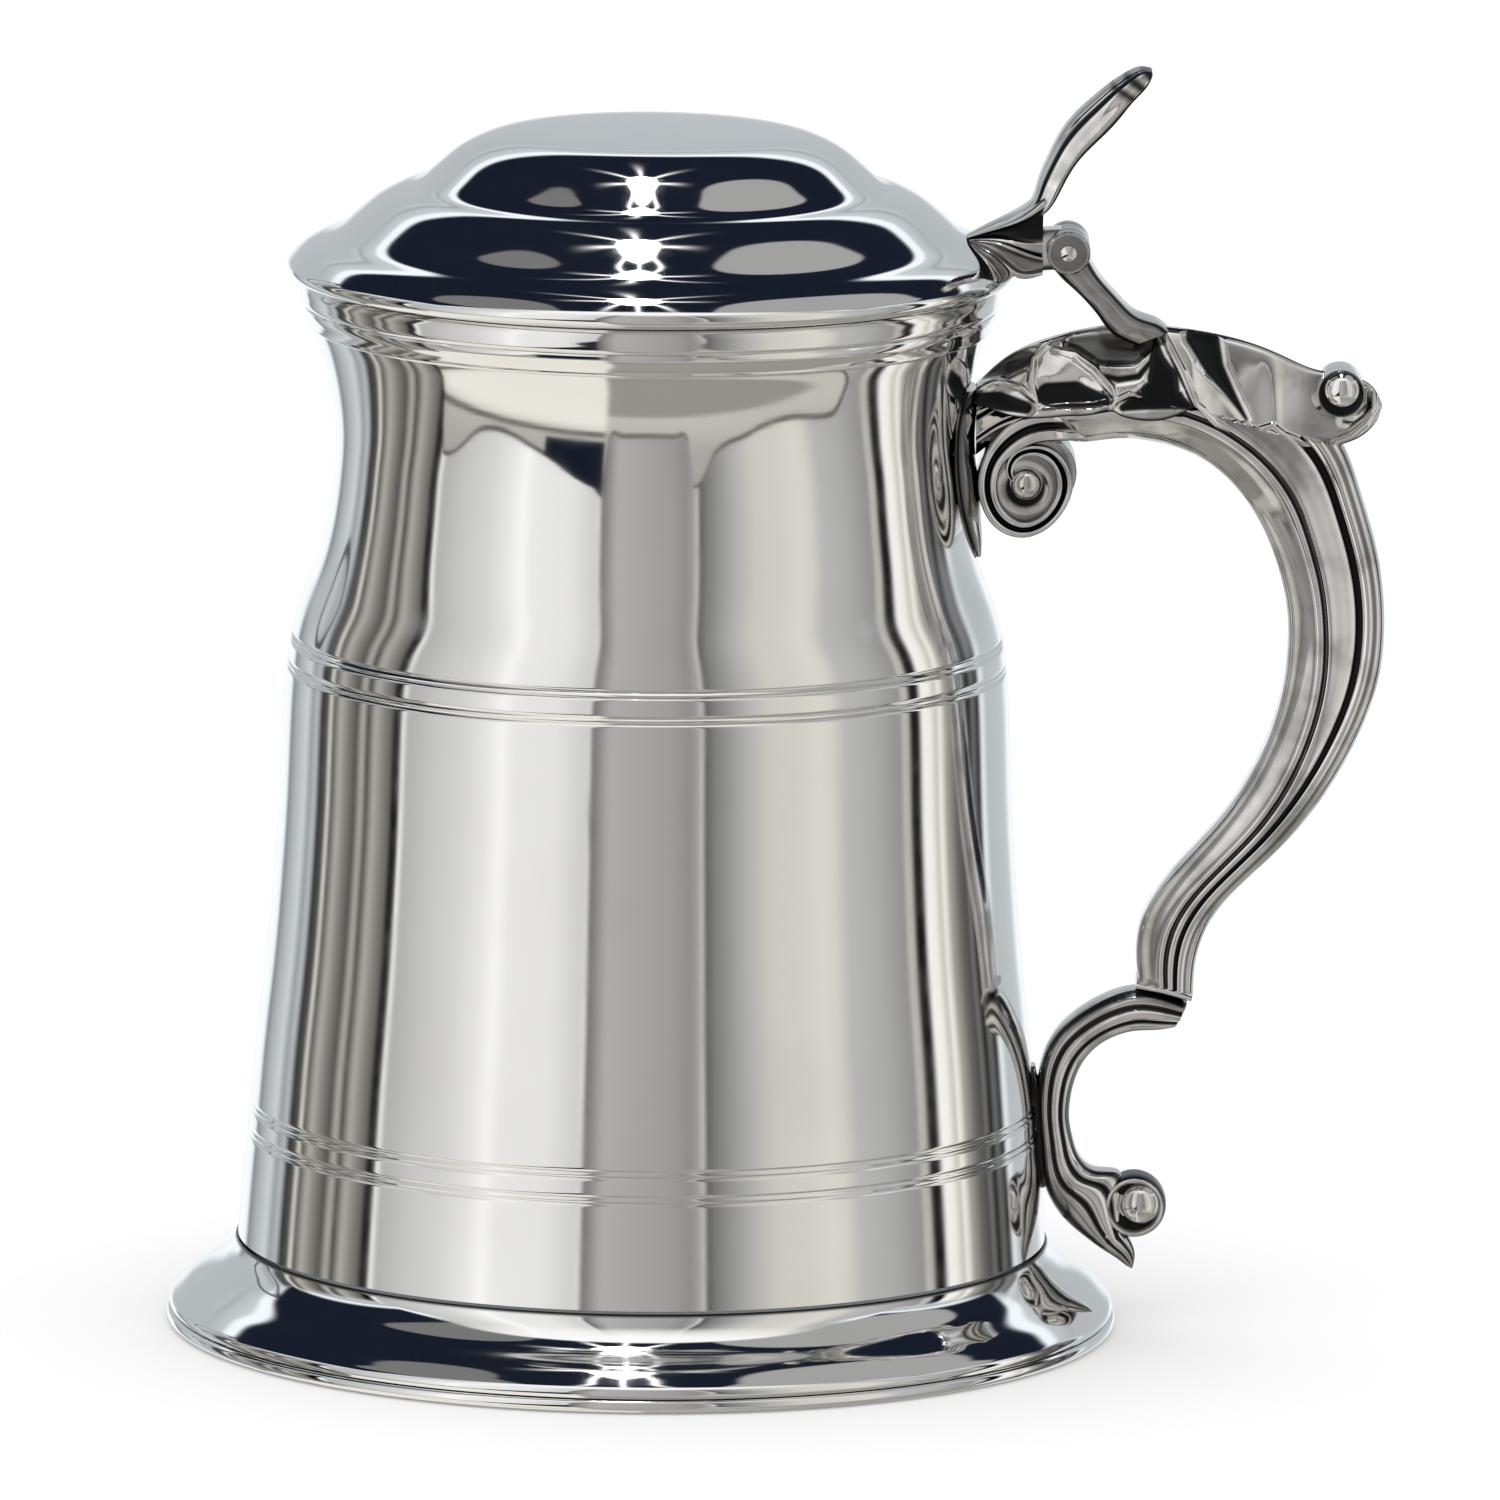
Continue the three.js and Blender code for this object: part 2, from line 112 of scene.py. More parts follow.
def eased(points, per):
    """A curve that stays close to its points, with the same number of steps between each pair."""
    points = np.asarray(points, float)
    spans = np.linalg.norm(np.diff(points[:, :2], axis=0), axis=1)[:, None]
    secants = np.diff(points, axis=0) / spans
    inner = (spans[:-1] * secants[1:] + spans[1:] * secants[:-1]) / (spans[:-1] + spans[1:])
    slopes = np.vstack([secants[:1], inner, secants[-1:]])
    t = np.arange(per)[:, None] / per
    pieces = []
    for k, span in enumerate(spans):
        pieces.append(points[k] * (1 + 2 * t) * (1 - t) ** 2 + points[k + 1] * t * t * (3 - 2 * t)
                      + span * (slopes[k] * t * (1 - t) ** 2 - slopes[k + 1] * t * t * (1 - t)))
    return np.vstack(pieces + [points[-1:]])


def rails(stations, steps):
    """Two edge curves, stepped together. Each station is a point of the inner, then of the outer."""
    curve = spline(stations, steps)
    return curve[:, :2], curve[:, 2:]


def along(values, steps):
    """A smooth run of numbers through evenly spaced values."""
    places = np.linspace(0, 1, len(values))
    return spline(np.column_stack([places * 10, values]), steps)[:, 1]


def smoothstep(value, low, high):
    share = np.clip((value - low) / (high - low), 0, 1)
    return share * share * (3 - 2 * share)


# ---- meshes ----

def to_row(points):
    """Millimetres about the drum's axis to metres in the row frame."""
    return (np.asarray(points, float) + [AXIS_X, 0, TABLE_Z]) * MM


def make_mesh(name, points, faces, material, sharp=40, stain_and_shade=None):
    """A smooth mesh with edges sharper than an angle kept. The last argument is each point's darkening,
    from 0 to 1: painted shade and painted dark reflections, and on the foot a dark seam.
    """
    if stain_and_shade is None:
        stain_and_shade = np.zeros(len(points))
    mesh = bpy.data.meshes.new(name)
    mesh.from_pydata(to_row(points).tolist(), [], faces)
    marks = mesh.attributes.new("tarnish_and_shade", "FLOAT", "POINT")
    marks.data.foreach_set("value", np.clip(np.ravel(stain_and_shade), 0, 1))
    work = bmesh.new()
    work.from_mesh(mesh)
    bmesh.ops.remove_doubles(work, verts=work.verts, dist=1e-7)
    bmesh.ops.recalc_face_normals(work, faces=work.faces)
    work.to_mesh(mesh)
    work.free()
    mesh.polygons.foreach_set("use_smooth", [True] * len(mesh.polygons))
    mesh.set_sharp_from_angle(angle=math.radians(sharp))
    mesh.materials.append(material)
    piece = bpy.data.objects.new(name, mesh)
    bpy.context.scene.collection.objects.link(piece)
    return piece


def grid_faces(rows, columns, closed_rows=False, closed_columns=False):
    """Quads of a grid of points, row by row."""
    faces = []
    for i in range(rows if closed_rows else rows - 1):
        for j in range(columns if closed_columns else columns - 1):
            i2 = (i + 1) % rows
            j2 = (j + 1) % columns
            faces.append((i * columns + j, i * columns + j2, i2 * columns + j2, i2 * columns + j))
    return faces


def turned(name, outline, material, sharp=40, stain_and_shade=None):
    """A piece turned about the drum's axis from a closed outline of [radius, height]."""
    outline = np.asarray(outline, float)
    angles = np.linspace(0, 2 * math.pi, ROUND, endpoint=False)
    radius, height = outline[:, 0][:, None], outline[:, 1][:, None]
    points = np.stack([radius * np.cos(angles), radius * np.sin(angles), height + 0 * angles], axis=-1)
    faces = grid_faces(len(outline), ROUND, closed_rows=True, closed_columns=True)
    if stain_and_shade is not None:
        stain_and_shade = np.repeat(stain_and_shade, ROUND)
    return make_mesh(name, points.reshape(-1, 3), faces, material, sharp, stain_and_shade)


def turned_on_pin(name, centre, outline, steps, sharp=40):
    """A cast piece turned about a line along Y, from an outline of radius, y and darkening that paints
    shade.
    """
    radius, across, stain_and_shade = np.asarray(outline, float).T[:, :, None]
    angles = np.linspace(0, 2 * math.pi, steps, endpoint=False)
    points = np.stack([centre[0] + radius * np.cos(angles), across + 0 * angles,
                       centre[1] + radius * np.sin(angles)], axis=-1)
    faces = grid_faces(len(outline), steps, closed_columns=True)
    return make_mesh(name, points.reshape(-1, 3), faces, CAST_METAL, sharp, stain_and_shade + 0 * angles)


def loft(name, inner, outer, widths, section):
    """A cast bar between two edge curves. A section gives place, share of the width and darkening that
    paints shade.
    """
    section = np.broadcast_to(np.asarray(section, float), (len(inner), *np.shape(section)[-2:]))
    share, width, stain_and_shade = np.moveaxis(section, 2, 0)
    x, z = [inner[:, i, None] + (outer - inner)[:, i, None] * share for i in (0, 1)]
    y = widths[:, None] * width
    near, far = [np.stack([x, side * y, z], axis=-1) for side in (-1, 1)]
    rows = np.concatenate([near, far[:, ::-1]], axis=1)
    columns = rows.shape[1]
    faces = grid_faces(len(rows), columns, closed_columns=True)
    faces.append(tuple(range(columns)))
    faces.append(tuple(range((len(rows) - 1) * columns, len(rows) * columns)))
    stains_and_shade = np.concatenate([stain_and_shade, stain_and_shade[:, ::-1]], axis=1)
    return make_mesh(name, rows.reshape(-1, 3), faces, CAST_METAL, stain_and_shade=stains_and_shade)


def shell(name, outer, inner, stain_and_shade):
    """A closed cast sheet between two grids of points."""
    rows, columns, _ = outer.shape
    size = rows * columns
    faces = grid_faces(rows, columns)
    faces += [tuple(size + k for k in face[::-1]) for face in faces]
    index = np.arange(size).reshape(rows, columns)
    ring = [*index[0], *index[1:, -1], *index[-1, -2::-1], *index[-2:0:-1, 0]]
    faces += [(int(a), int(b), int(size + b), int(size + a)) for a, b in zip(ring, ring[1:] + ring[:1])]
    points = np.concatenate([outer.reshape(-1, 3), inner.reshape(-1, 3)])
    return make_mesh(name, points, faces, CAST_METAL, 50, np.tile(np.ravel(stain_and_shade), 2))


def join(name, *pieces):
    """Several meshes as one piece."""
    work = bmesh.new()
    for piece in pieces:
        work.from_mesh(piece.data)
    mesh = pieces[0].data
    work.to_mesh(mesh)
    work.free()
    for extra in pieces[1:]:
        bpy.data.objects.remove(extra)
    pieces[0].name = name
    return pieces[0]


def stands_for(piece, node, body="tankard"):
    """Lets a finished piece take the place of its CAD node on a body."""
    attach(piece, body)
    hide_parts(node)


# ---- materials ----

class Graph:
    """Short ways to add shader nodes."""

    def __init__(self, tree):
        self.tree = tree
        tree.nodes.clear()

    def add(self, kind, **settings):
        node = self.tree.nodes.new(kind)
        for key, value in settings.items():
            setattr(node, key, value)
        return node

    def link(self, source, target):
        self.tree.links.new(source, target)

    def feed(self, value, socket):
        """Links an output to a socket, or sets the socket to a number or a colour."""
        if hasattr(value, "is_output"):
            self.link(value, socket)
        elif isinstance(value, tuple):
            socket.default_value = (*value, 1)
        else:
            socket.default_value = value

    def math(self, operation, *values):
        node = self.add("ShaderNodeMath", operation=operation)
        for socket, value in zip(node.inputs, values):
            self.feed(value, socket)
        return node.outputs[0]

    def times(self, first, *others):
        for other in others:
            first = self.math("MULTIPLY", first, other)
        return first

    def minus(self, first, second):
        return self.math("SUBTRACT", first, second)

    def squares(self, first, second):
        """The sum of the two squares."""
        return self.math("ADD", self.times(first, first), self.times(second, second))

    def noise(self, place, scale, detail=2):
        node = self.add("ShaderNodeTexNoise")
        node.inputs["Scale"].default_value = scale
        node.inputs["Detail"].default_value = detail
        self.link(place, node.inputs["Vector"])
        return node.outputs["Fac"]

    def fade(self, value, start, end):
        """0 at start, 1 at end, smooth between."""
        node = self.add("ShaderNodeMapRange", interpolation_type="SMOOTHSTEP")
        self.link(value, node.inputs["Value"])
        node.inputs["From Min"].default_value = start
        node.inputs["From Max"].default_value = end
        return node.outputs["Result"]

    def inside(self, value, low, high, soft):
        """1 between low and high, with soft edges."""
        rise = self.fade(value, low - soft, low + soft)
        fall = self.fade(value, high + soft, high - soft)
        return self.times(rise, fall)

    def ramp(self, value, low, high, stops, between="LINEAR"):
        """A colour ramp whose stops are places between low and high."""
        node = self.add("ShaderNodeValToRGB")
        node.color_ramp.interpolation = between
        place = self.math("DIVIDE", self.minus(value, low), high - low)
        self.link(place, node.inputs[0])
        elements = node.color_ramp.elements
        while len(elements) > 1:
            elements.remove(elements[-1])
        for i, (where, colour) in enumerate(stops):
            share = (where - low) / (high - low)
            element = elements[0] if i == 0 else elements.new(share)
            element.position = share
            element.color = (*colour, 1)
        return node.outputs["Color"]

    def mix(self, share, first, second):
        node = self.add("ShaderNodeMix", data_type="RGBA")
        for number, value in ((0, share), (6, first), (7, second)):
            self.feed(value, node.inputs[number])
        return node.outputs[2]


# The black that points are blended towards: painted shade and painted dark reflections, and the foot's
# dark seam.
STAIN_AND_SHADE_BLACK = (0.018, 0.019, 0.020)


def pewter(name, colour, dark, roughness, rings=0, pits=0, waves=0, tarnish_and_shade=0.3, mottle=45):
    """Polished pewter with turning rings, pits and slow waves, given as depths, and uneven tarnish."""
    material = bpy.data.materials.new(name)
    material.use_nodes = True
    g = Graph(material.node_tree)
    output = g.add("ShaderNodeOutputMaterial")
    shader = g.add("ShaderNodeBsdfPrincipled")
    g.link(shader.outputs[0], output.inputs[0])
    shader.inputs["Metallic"].default_value = 1.0
    place = g.add("ShaderNodeTexCoord").outputs["Object"]

    share = g.times(g.fade(g.noise(place, mottle, 4), 0.42, 0.75), tarnish_and_shade)
    metal = g.mix(share, colour, dark)
    # Each point's attribute blackens it and roughens it: painted shade in grooves, hollows and meeting
    # faces, painted dark reflections, and the foot's dark seam.
    stain_and_shade = g.add("ShaderNodeAttribute", attribute_name="tarnish_and_shade").outputs["Fac"]
    g.link(g.mix(stain_and_shade, metal, STAIN_AND_SHADE_BLACK), shader.inputs["Base Color"])

    rough = g.math("MULTIPLY_ADD", g.noise(place, 260, 3), roughness * 0.8, roughness * 0.6)
    g.link(g.math("MULTIPLY_ADD", stain_and_shade, 0.22, rough), shader.inputs["Roughness"])

    layers = []
    if waves:
        layers.append((g.noise(place, 38, 1), waves))
    if rings:
        stretch = g.add("ShaderNodeVectorMath", operation="MULTIPLY")
        stretch.inputs[1].default_value = (6, 6, 2400)
        g.link(place, stretch.inputs[0])
        layers.append((g.noise(stretch.outputs[0], 1, 3), rings))
    if pits:
        cells = g.add("ShaderNodeTexVoronoi")
        cells.inputs["Scale"].default_value = 340
        g.link(place, cells.inputs["Vector"])
        patch = g.fade(g.noise(place, 300), 0.62, 0.8)
        reach = g.math("MAXIMUM", g.times(patch, 0.16), 0.001)
        dents = g.math("SMOOTH_MIN", g.math("DIVIDE", cells.outputs["Distance"], reach), 1, 0.3)
        layers.append((dents, pits))
    height = None
    for value, depth in layers:
        scaled = g.times(value, depth)
        height = scaled if height is None else g.math("ADD", height, scaled)
    if height is not None:
        bump = g.add("ShaderNodeBump")
        bump.inputs["Distance"].default_value = MM
        g.link(height, bump.inputs["Height"])
        g.link(bump.outputs["Normal"], shader.inputs["Normal"])
    return material


DRUM_METAL = pewter("drum_pewter", (0.80, 0.795, 0.78), (0.70, 0.69, 0.67), 0.075,
                    rings=0.0012, pits=0.006, waves=0.03)
LID_METAL = pewter("lid_pewter", (0.81, 0.81, 0.80), (0.72, 0.72, 0.71), 0.05, rings=0.0005, waves=0.02)
CAST_METAL = pewter("cast_pewter", (0.80, 0.79, 0.77), (0.25, 0.24, 0.22), 0.075, pits=0.01, waves=0.07,
                    tarnish_and_shade=0.6, mottle=190)
INNER_METAL = pewter("inner_pewter", (0.66, 0.65, 0.63), (0.50, 0.49, 0.47), 0.26, rings=0.01, pits=0.01)


# ---- drum, base and foot ----

DRUM_OUTSIDE = [
    (48.35, DRUM_BOTTOM), (47.75, 18), (47.1, 25), (46.3, 34), (45.2, 44), (44.35, 54), (43.75, 64),
    (43.4, 73), (43, 79), (42.45, 83), (41.5, 86.6), (40.1, 90.2), (38.85, 94), (37.95, 98.4),
    (37.4, 103), (37.25, 107), (37.65, 111), (38.5, 115), (39.5, 118.4), (40.15, 120.6), (40.5, 123),
    (40.6, DRUM_TOP),
]
GROOVES = (23.4, 26.4, 79.8, 82.9)
GROOVE_DEPTH = 0.26
GROOVE_HALF = 0.34
LINE_GAP = 0.34                  # each groove is a pair of fine lines
LIP_EASE = 0.25


def drum_outline():
    """Outside with its incised lines, then the inside, one wall thickness in."""
    curve = spline(DRUM_OUTSIDE, 700)
    cut = np.zeros(len(curve))
    for groove in GROOVES:
        for side in (-1, 1):
            reach = np.abs(curve[:, 1] - groove - side * LINE_GAP) / GROOVE_HALF
            cut += np.clip(1 - reach, 0, None) ** 1.4 * GROOVE_DEPTH
    outside = curve - np.column_stack([cut, 0 * cut])
    inside = spline(DRUM_OUTSIDE, 120) - [WALL, 0]
    lip = [(inside[-1][0] + LIP_EASE, DRUM_TOP)]
    inside[-1][1] -= LIP_EASE
    return np.vstack([outside, lip, inside[::-1]])


drum = turned("drum", drum_outline(), DRUM_METAL, sharp=55)
stands_for(drum, "body_barrel")


def base_outline():
    """A disc, slightly dished above and below."""
    low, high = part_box("base_disc")
    radius = high.y / MM
    upper = [(1, 0), (0.8, -0.15), (0.4, -0.5), (0.01 / radius, -0.6)]
    lower = [(0.01 / radius, 0.5), (0.5, 0.35), (0.9, 0.05), (1, 0)]
    return np.vstack([
        spline([(radius * share, level + lift) for share, lift in half], 60)
        for half, level in ((upper, high.z / MM), (lower, low.z / MM))])


base = turned("cup_base", base_outline(), INNER_METAL)
stands_for(base, "base_disc")

RIM_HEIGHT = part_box("foot_rim")[1].z / MM


def foot_outline():
    """The hollow flare of the foot, its outside and its inside."""
    outside = spline([
        (FOOT_RADIUS - 0.45, RIM_HEIGHT + 0.12), (FOOT_RADIUS - 0.3, 2.3), (55.75, 3.3), (54.3, 4.5),
        (52.3, 5.75), (50.7, 6.9), (49.65, 8.05), (48.95, 9.1), (48.55, FOOT_TOP),
    ], 150)
    inside = spline([
        (47.1, FOOT_TOP), (47.2, 9), (47.9, 7.6), (49.4, 6), (51.2, 4.7), (52.8, 3.4),
        (53.8, RIM_HEIGHT + 0.12),
    ], 60)
    return np.vstack([outside, inside])


foot_shape = foot_outline()
seam = smoothstep(foot_shape[:, 1], FOOT_TOP - 0.55, FOOT_TOP - 0.15)
foot = turned("foot", foot_shape, LID_METAL, sharp=50, stain_and_shade=seam)
stands_for(foot, "foot_skirt")

rim_ring = turned("foot_ring", np.vstack([
    spline([(FOOT_RADIUS - 3.3, 0.0), (FOOT_RADIUS - 2.0, 0.0), (FOOT_RADIUS - 0.7, 0.0)], 12),
    spline([(FOOT_RADIUS - 0.45, 0.05), (FOOT_RADIUS - 0.08, 0.4), (FOOT_RADIUS, 0.85),
            (FOOT_RADIUS - 0.12, 1.25), (FOOT_RADIUS - 0.5, RIM_HEIGHT)], 24),
    [(FOOT_RADIUS - 3.3, RIM_HEIGHT)],
]), LID_METAL)
stands_for(rim_ring, "foot_rim")

band = turned("lip_band", np.vstack([
    spline([(40.25, 120.2), (40.42, 120.3), (40.55, 120.55)], 8),
    spline([(40.56, 120.7), (40.8, 121.4), (41.12, 122.2), (41.22, 122.75)], 18),
    spline([(41.12, 122.95), (41.4, 123.3), (41.52, 124.1), (41.5, 125.0), (41.3, 125.6)], 26),
    [(41.1, DRUM_TOP), (40.7, DRUM_TOP), (40.7, 122.0)],
]), DRUM_METAL, sharp=30)
stands_for(band, "rim_band")


# ---- lid ----

def lid_outline():
    """The flange and the two domes, then the lid's inside."""
    outside = spline([
        (LID_RADIUS - 1.35, LID_BOTTOM), (LID_RADIUS - 0.35, LID_BOTTOM + 0.4),
        (LID_RADIUS, LID_BOTTOM + 1.2), (LID_RADIUS - 0.65, LID_BOTTOM + 2.3), (41.1, 129.8),
        (39.6, 130.5), (38.2, 131.05), (37, 131.8), (35.7, 132.95), (34.2, 134.25), (32.5, 135.5),
        (31, 136.3), (29.7, 136.8), (28.4, 137.2), (27.4, 137.75), (26.4, 138.6), (25.1, 139.75),
        (23.5, 141.05), (21.8, 142.1), (20.1, 142.85), (18.5, 143.35), (16.9, 143.65), (14.5, 143.88),
        (11, 144.03), (6, 144.15), (0.02, LID_TOP),
    ], 620)
    inside = spline([
        (0.02, LID_TOP - 1.5), (8, LID_TOP - 1.6), (15.5, 142.1), (20, 141.1), (23.4, 139.4),
        (26, 137.2), (29.5, 135.3), (33, 133.2), (36, 130.6), (38, 129.3), (38.6, 128.6),
    ], 120)
    return np.vstack([outside, inside, [(38.6, LID_BOTTOM)]])


lid = turned("lid", lid_outline(), LID_METAL, sharp=50)
stands_for(lid, "lid_shell", "lid")

BEZEL_LOW, BEZEL_HIGH = [corner.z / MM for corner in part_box("lid_bezel")]
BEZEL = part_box("lid_bezel")[1].y / MM
BEZEL_WALL = 1.1
bezel = turned("lid_bezel_ring", np.vstack([
    spline([(BEZEL - BEZEL_WALL, BEZEL_LOW), (BEZEL - 0.5, BEZEL_LOW), (BEZEL, BEZEL_LOW + 0.6)], 12),
    [(BEZEL, BEZEL_HIGH), (BEZEL - BEZEL_WALL, BEZEL_HIGH)],
]), INNER_METAL)
stands_for(bezel, "lid_bezel", "lid")


# ---- handle ----

def bar(name, stations, steps, widths, section):
    """A bar whose edges and half-widths run smoothly through a few stations."""
    inner, outer = rails(stations, steps)
    return loft(name, inner, outer, along(widths, steps), section)


def cast(piece, node, body="tankard"):
    """Lets a cast piece take the place of its CAD node."""
    stands_for(piece, node, body)


# Sections across the handle's side, from the inner edge out: place, share of the half-width, and
# darkening, which paints shade into the grooves and along the edges.
UPPER_SECTION = eased([
    (0, 0.32, 0.1), (0.012, 0.44, 0), (0.05, 0.56, 0), (0.17, 0.79, 0), (0.27, 0.95, 0.2), (0.3, 1, 0),
    (0.335, 1, 0), (0.352, 0.97, 0.5), (0.37, 0.88, 1), (0.39, 0.89, 0.8), (0.41, 0.94, 0),
    (0.5, 0.885, 0), (0.6, 0.81, 0), (0.69, 0.73, 0.1), (0.705, 0.68, 0.8), (0.72, 0.52, 1),
    (0.745, 0.52, 1), (0.762, 0.68, 0.8), (0.778, 0.78, 0), (0.82, 0.83, 0), (0.865, 0.8, 0),
    (0.882, 0.755, 0.6), (0.9, 0.75, 0.5), (0.93, 0.73, 0), (0.965, 0.62, 0), (0.99, 0.44, 0.1),
    (1, 0.24, 0.1),
], 4)
LOWER_SECTION = eased([
    (0, 0.32, 0.1), (0.012, 0.44, 0), (0.05, 0.56, 0), (0.2, 0.78, 0.1), (0.36, 0.94, 0.3), (0.4, 1, 0),
    (0.44, 1, 0), (0.462, 0.95, 0.5), (0.485, 0.84, 1), (0.505, 0.84, 0.9), (0.53, 0.92, 0),
    (0.56, 0.95, 0), (0.59, 0.95, 0), (0.62, 0.91, 0.1), (0.635, 0.86, 0.7), (0.65, 0.76, 1),
    (0.67, 0.76, 1), (0.69, 0.84, 0.7), (0.71, 0.88, 0), (0.76, 0.88, 0), (0.81, 0.84, 0),
    (0.83, 0.77, 0.7), (0.85, 0.75, 0.6), (0.89, 0.71, 0), (0.95, 0.58, 0), (0.985, 0.42, 0.1),
    (1, 0.24, 0.1),
], 4)

GRIP_STATIONS = [
    (38.9, 105.4, 38.9, 111.9), (41.6, 107.4, 41.6, 113.4), (44.6, 108.2, 44.6, 115.2),
    (48, 107.9, 48.2, 117), (50.9, 107.1, 51.6, 118.2), (55.1, 107.5, 55.6, 118.9),
    (59.5, 107.3, 60.6, 119), (63.5, 106.3, 66.4, 118), (67.2, 104.2, 72.4, 115.7),
    (70.4, 101.2, 77.8, 112.4), (72.9, 97.4, 82.2, 107.8), (74.8, 93, 84.9, 101.2),
    (76, 88.4, 87, 93.8), (76.4, 83.4, 87.9, 85.2), (76, 78.5, 87.2, 78.4), (74.8, 73.4, 84.9, 71.8),
    (72.2, 67.2, 81.3, 65.1), (68.6, 61.7, 76.9, 59.3), (64.6, 57.1, 72.3, 54.7),
    (61.4, 53.2, 68.7, 50.8), (59.3, 49.2, 66.7, 47.2), (58.75, 45.4, 65.9, 43.9),
    (59.1, 41.6, 65.7, 40.3),
]
STEPS = 280


def blend(first, second, start, end):
    """A section for each station, turning from the first to the second between start and end."""
    share = smoothstep(np.linspace(0, 1, STEPS), start, end)[:, None, None]
    return first[None] * (1 - share) + second[None] * share


# The leaf's crest and lower edge, used by the grip below it as well.
LEAF_STATIONS = [
    (39, 113.9, 38.6, 112.2), (41.6, 116.4, 41.5, 111.2), (44.4, 118.2, 45, 111.6),
    (48.4, 119.7, 49.6, 111.9), (53.2, 120.8, 54.4, 112.1), (58.8, 121.1, 60.2, 111.6),
    (64.8, 120.5, 65.6, 110.9), (70.6, 119.3, 70.8, 109.5), (75.4, 117.5, 75.6, 108.2),
    (79.2, 115.9, 79.6, 107.5), (82.2, 115.4, 82.6, 107.3), (84.6, 114.8, 85.1, 108.3),
    (86.3, 113.6, 86.6, 109.9), (87.2, 111.8, 87.2, 111.4),
]
LEAF_WIDTHS = [4.6, 5.3, 5.7, 5.8, 5.8, 5.7, 5.5, 5.2, 4.6, 4, 3.6, 3.2, 2, 0.3]


def leaf_profile():
    """How far out and down the leaf's section runs: a quick turn at the crest, then nearly flat."""
    place = np.linspace(0, 1, 200)
    tilt = np.radians(np.where(place < 0.14, 90 - place / 0.14 * 50, 40 - (place - 0.14) / 0.86 * 30))
    out = np.cumsum(np.sin(tilt))
    down = np.cumsum(np.cos(tilt))
    return place, (out - out[0]) / (out[-1] - out[0]), (down - down[0]) / (down[-1] - down[0])


def tucked(section, inner, outer, widths):
    """The same section, narrowed wherever it would come through the leaf that lies over it."""
    crest, edge = rails(LEAF_STATIONS, 400)
    half = along(LEAF_WIDTHS, 400)
    _, out, down = leaf_profile()
    x, z = [inner[:, i, None] + (outer - inner)[:, i, None] * section[:, :, 0] for i in (0, 1)]
    middle = (crest[:, 0] + edge[:, 0]) / 2
    top, low, wide = [np.interp(x, middle, values) for values in (crest[:, 1], edge[:, 1], half)]
    drop = (top - z) / np.maximum(top - low, 0.5)
    free = smoothstep(drop, 0.90, 1.04) + smoothstep(x, 85.5, 87)
    room = wide * np.interp(drop, down, out) - 1.5 + 9 * free
    result = section.copy()
    result[:, :, 1] = np.minimum(result[:, :, 1], np.maximum(room, 0.2) / widths[:, None])
    return result


inner_edge, outer_edge = rails(GRIP_STATIONS, STEPS)
grip_widths = along([5.0, 5.0, 4.9, 4.8, 4.7, 4.5, 4.2], STEPS)
grip_section = blend(UPPER_SECTION, LOWER_SECTION, 0.52, 0.80)
grip_section = tucked(grip_section, inner_edge, outer_edge, grip_widths)
cast(loft("handle_s_scroll", inner_edge, outer_edge, grip_widths, grip_section), "handle_grip")

# The lower scroll's section; its third column paints shade into its grooves and along its edges.
SCROLL_SECTION = eased([
    (0, 0.3, 0.1), (0.02, 0.44, 0.6), (0.07, 0.6, 0.9), (0.12, 0.7, 0), (0.21, 0.79, 0),
    (0.25, 0.77, 1), (0.31, 0.79, 1), (0.35, 0.93, 0), (0.42, 1, 0), (0.5, 0.99, 0), (0.56, 0.93, 0.3),
    (0.6, 0.85, 1), (0.66, 0.83, 0.9), (0.7, 0.88, 0.2), (0.76, 0.87, 0.3), (0.84, 0.79, 0.5),
    (0.89, 0.69, 0.9), (0.94, 0.58, 0.8), (0.975, 0.45, 0.2), (1, 0.24, 0),
], 4)
LOWER_STATIONS = [
    (63.4, 36.3, 65, 39.5), (61.3, 35.95, 62.3, 40.6), (59.2, 35.85, 59.2, 41.1),
    (56.8, 35.3, 55.1, 40), (54.6, 34.1, 51.6, 37.9), (52.8, 32.2, 49.1, 35.5),
    (51.7, 29.8, 47.7, 32.6), (51.2, 27.5, 47.2, 29.3), (51.1, 25.1, 47.2, 25.8),
    (51.6, 22.5, 47.5, 22.2), (52.3, 20.6, 47.8, 18.8), (54.2, 18.9, 48.6, 15.8),
    (57.2, 18.4, 50.3, 13.1), (57.8, 14.4, 52.7, 10.9), (57.8, 11.6, 55, 9.2),
]
LOWER_WIDTHS = [4.1, 4.3, 4.4, 4.3, 4, 3.6, 3]
cast(bar("handle_c_scroll", LOWER_STATIONS, 190, LOWER_WIDTHS, SCROLL_SECTION), "handle_lower_scroll")

TIP_STATIONS = [
    (57.3, 12.4, 54, 9.9), (58.2, 10.9, 55.6, 8.8), (58.9, 9.5, 57.1, 7.8), (59.15, 8, 58.25, 6.9),
    (58.95, 6.8, 58.8, 6.6),
]
TIP_WIDTHS = [3, 2.6, 2, 1.2, 0.15]
cast(bar("handle_tip_leaf", TIP_STATIONS, 30, TIP_WIDTHS, SCROLL_SECTION), "lower_leaf_tip")

ROUNDED = [(0.5 - math.cos(a) / 2, math.sin(a) ** 0.45, 0) for a in np.linspace(0.1, math.pi - 0.1, 17)]
BEAD_STATIONS = [(58.7, 41.2, 58.9, 42.3), (61.8, 40.7, 62.1, 41.8), (65.3, 39.7, 65.6, 40.7)]
cast(bar("handle_mitre", BEAD_STATIONS, 24, [4.2, 4.6, 4.3], ROUNDED), "mitre_bead")


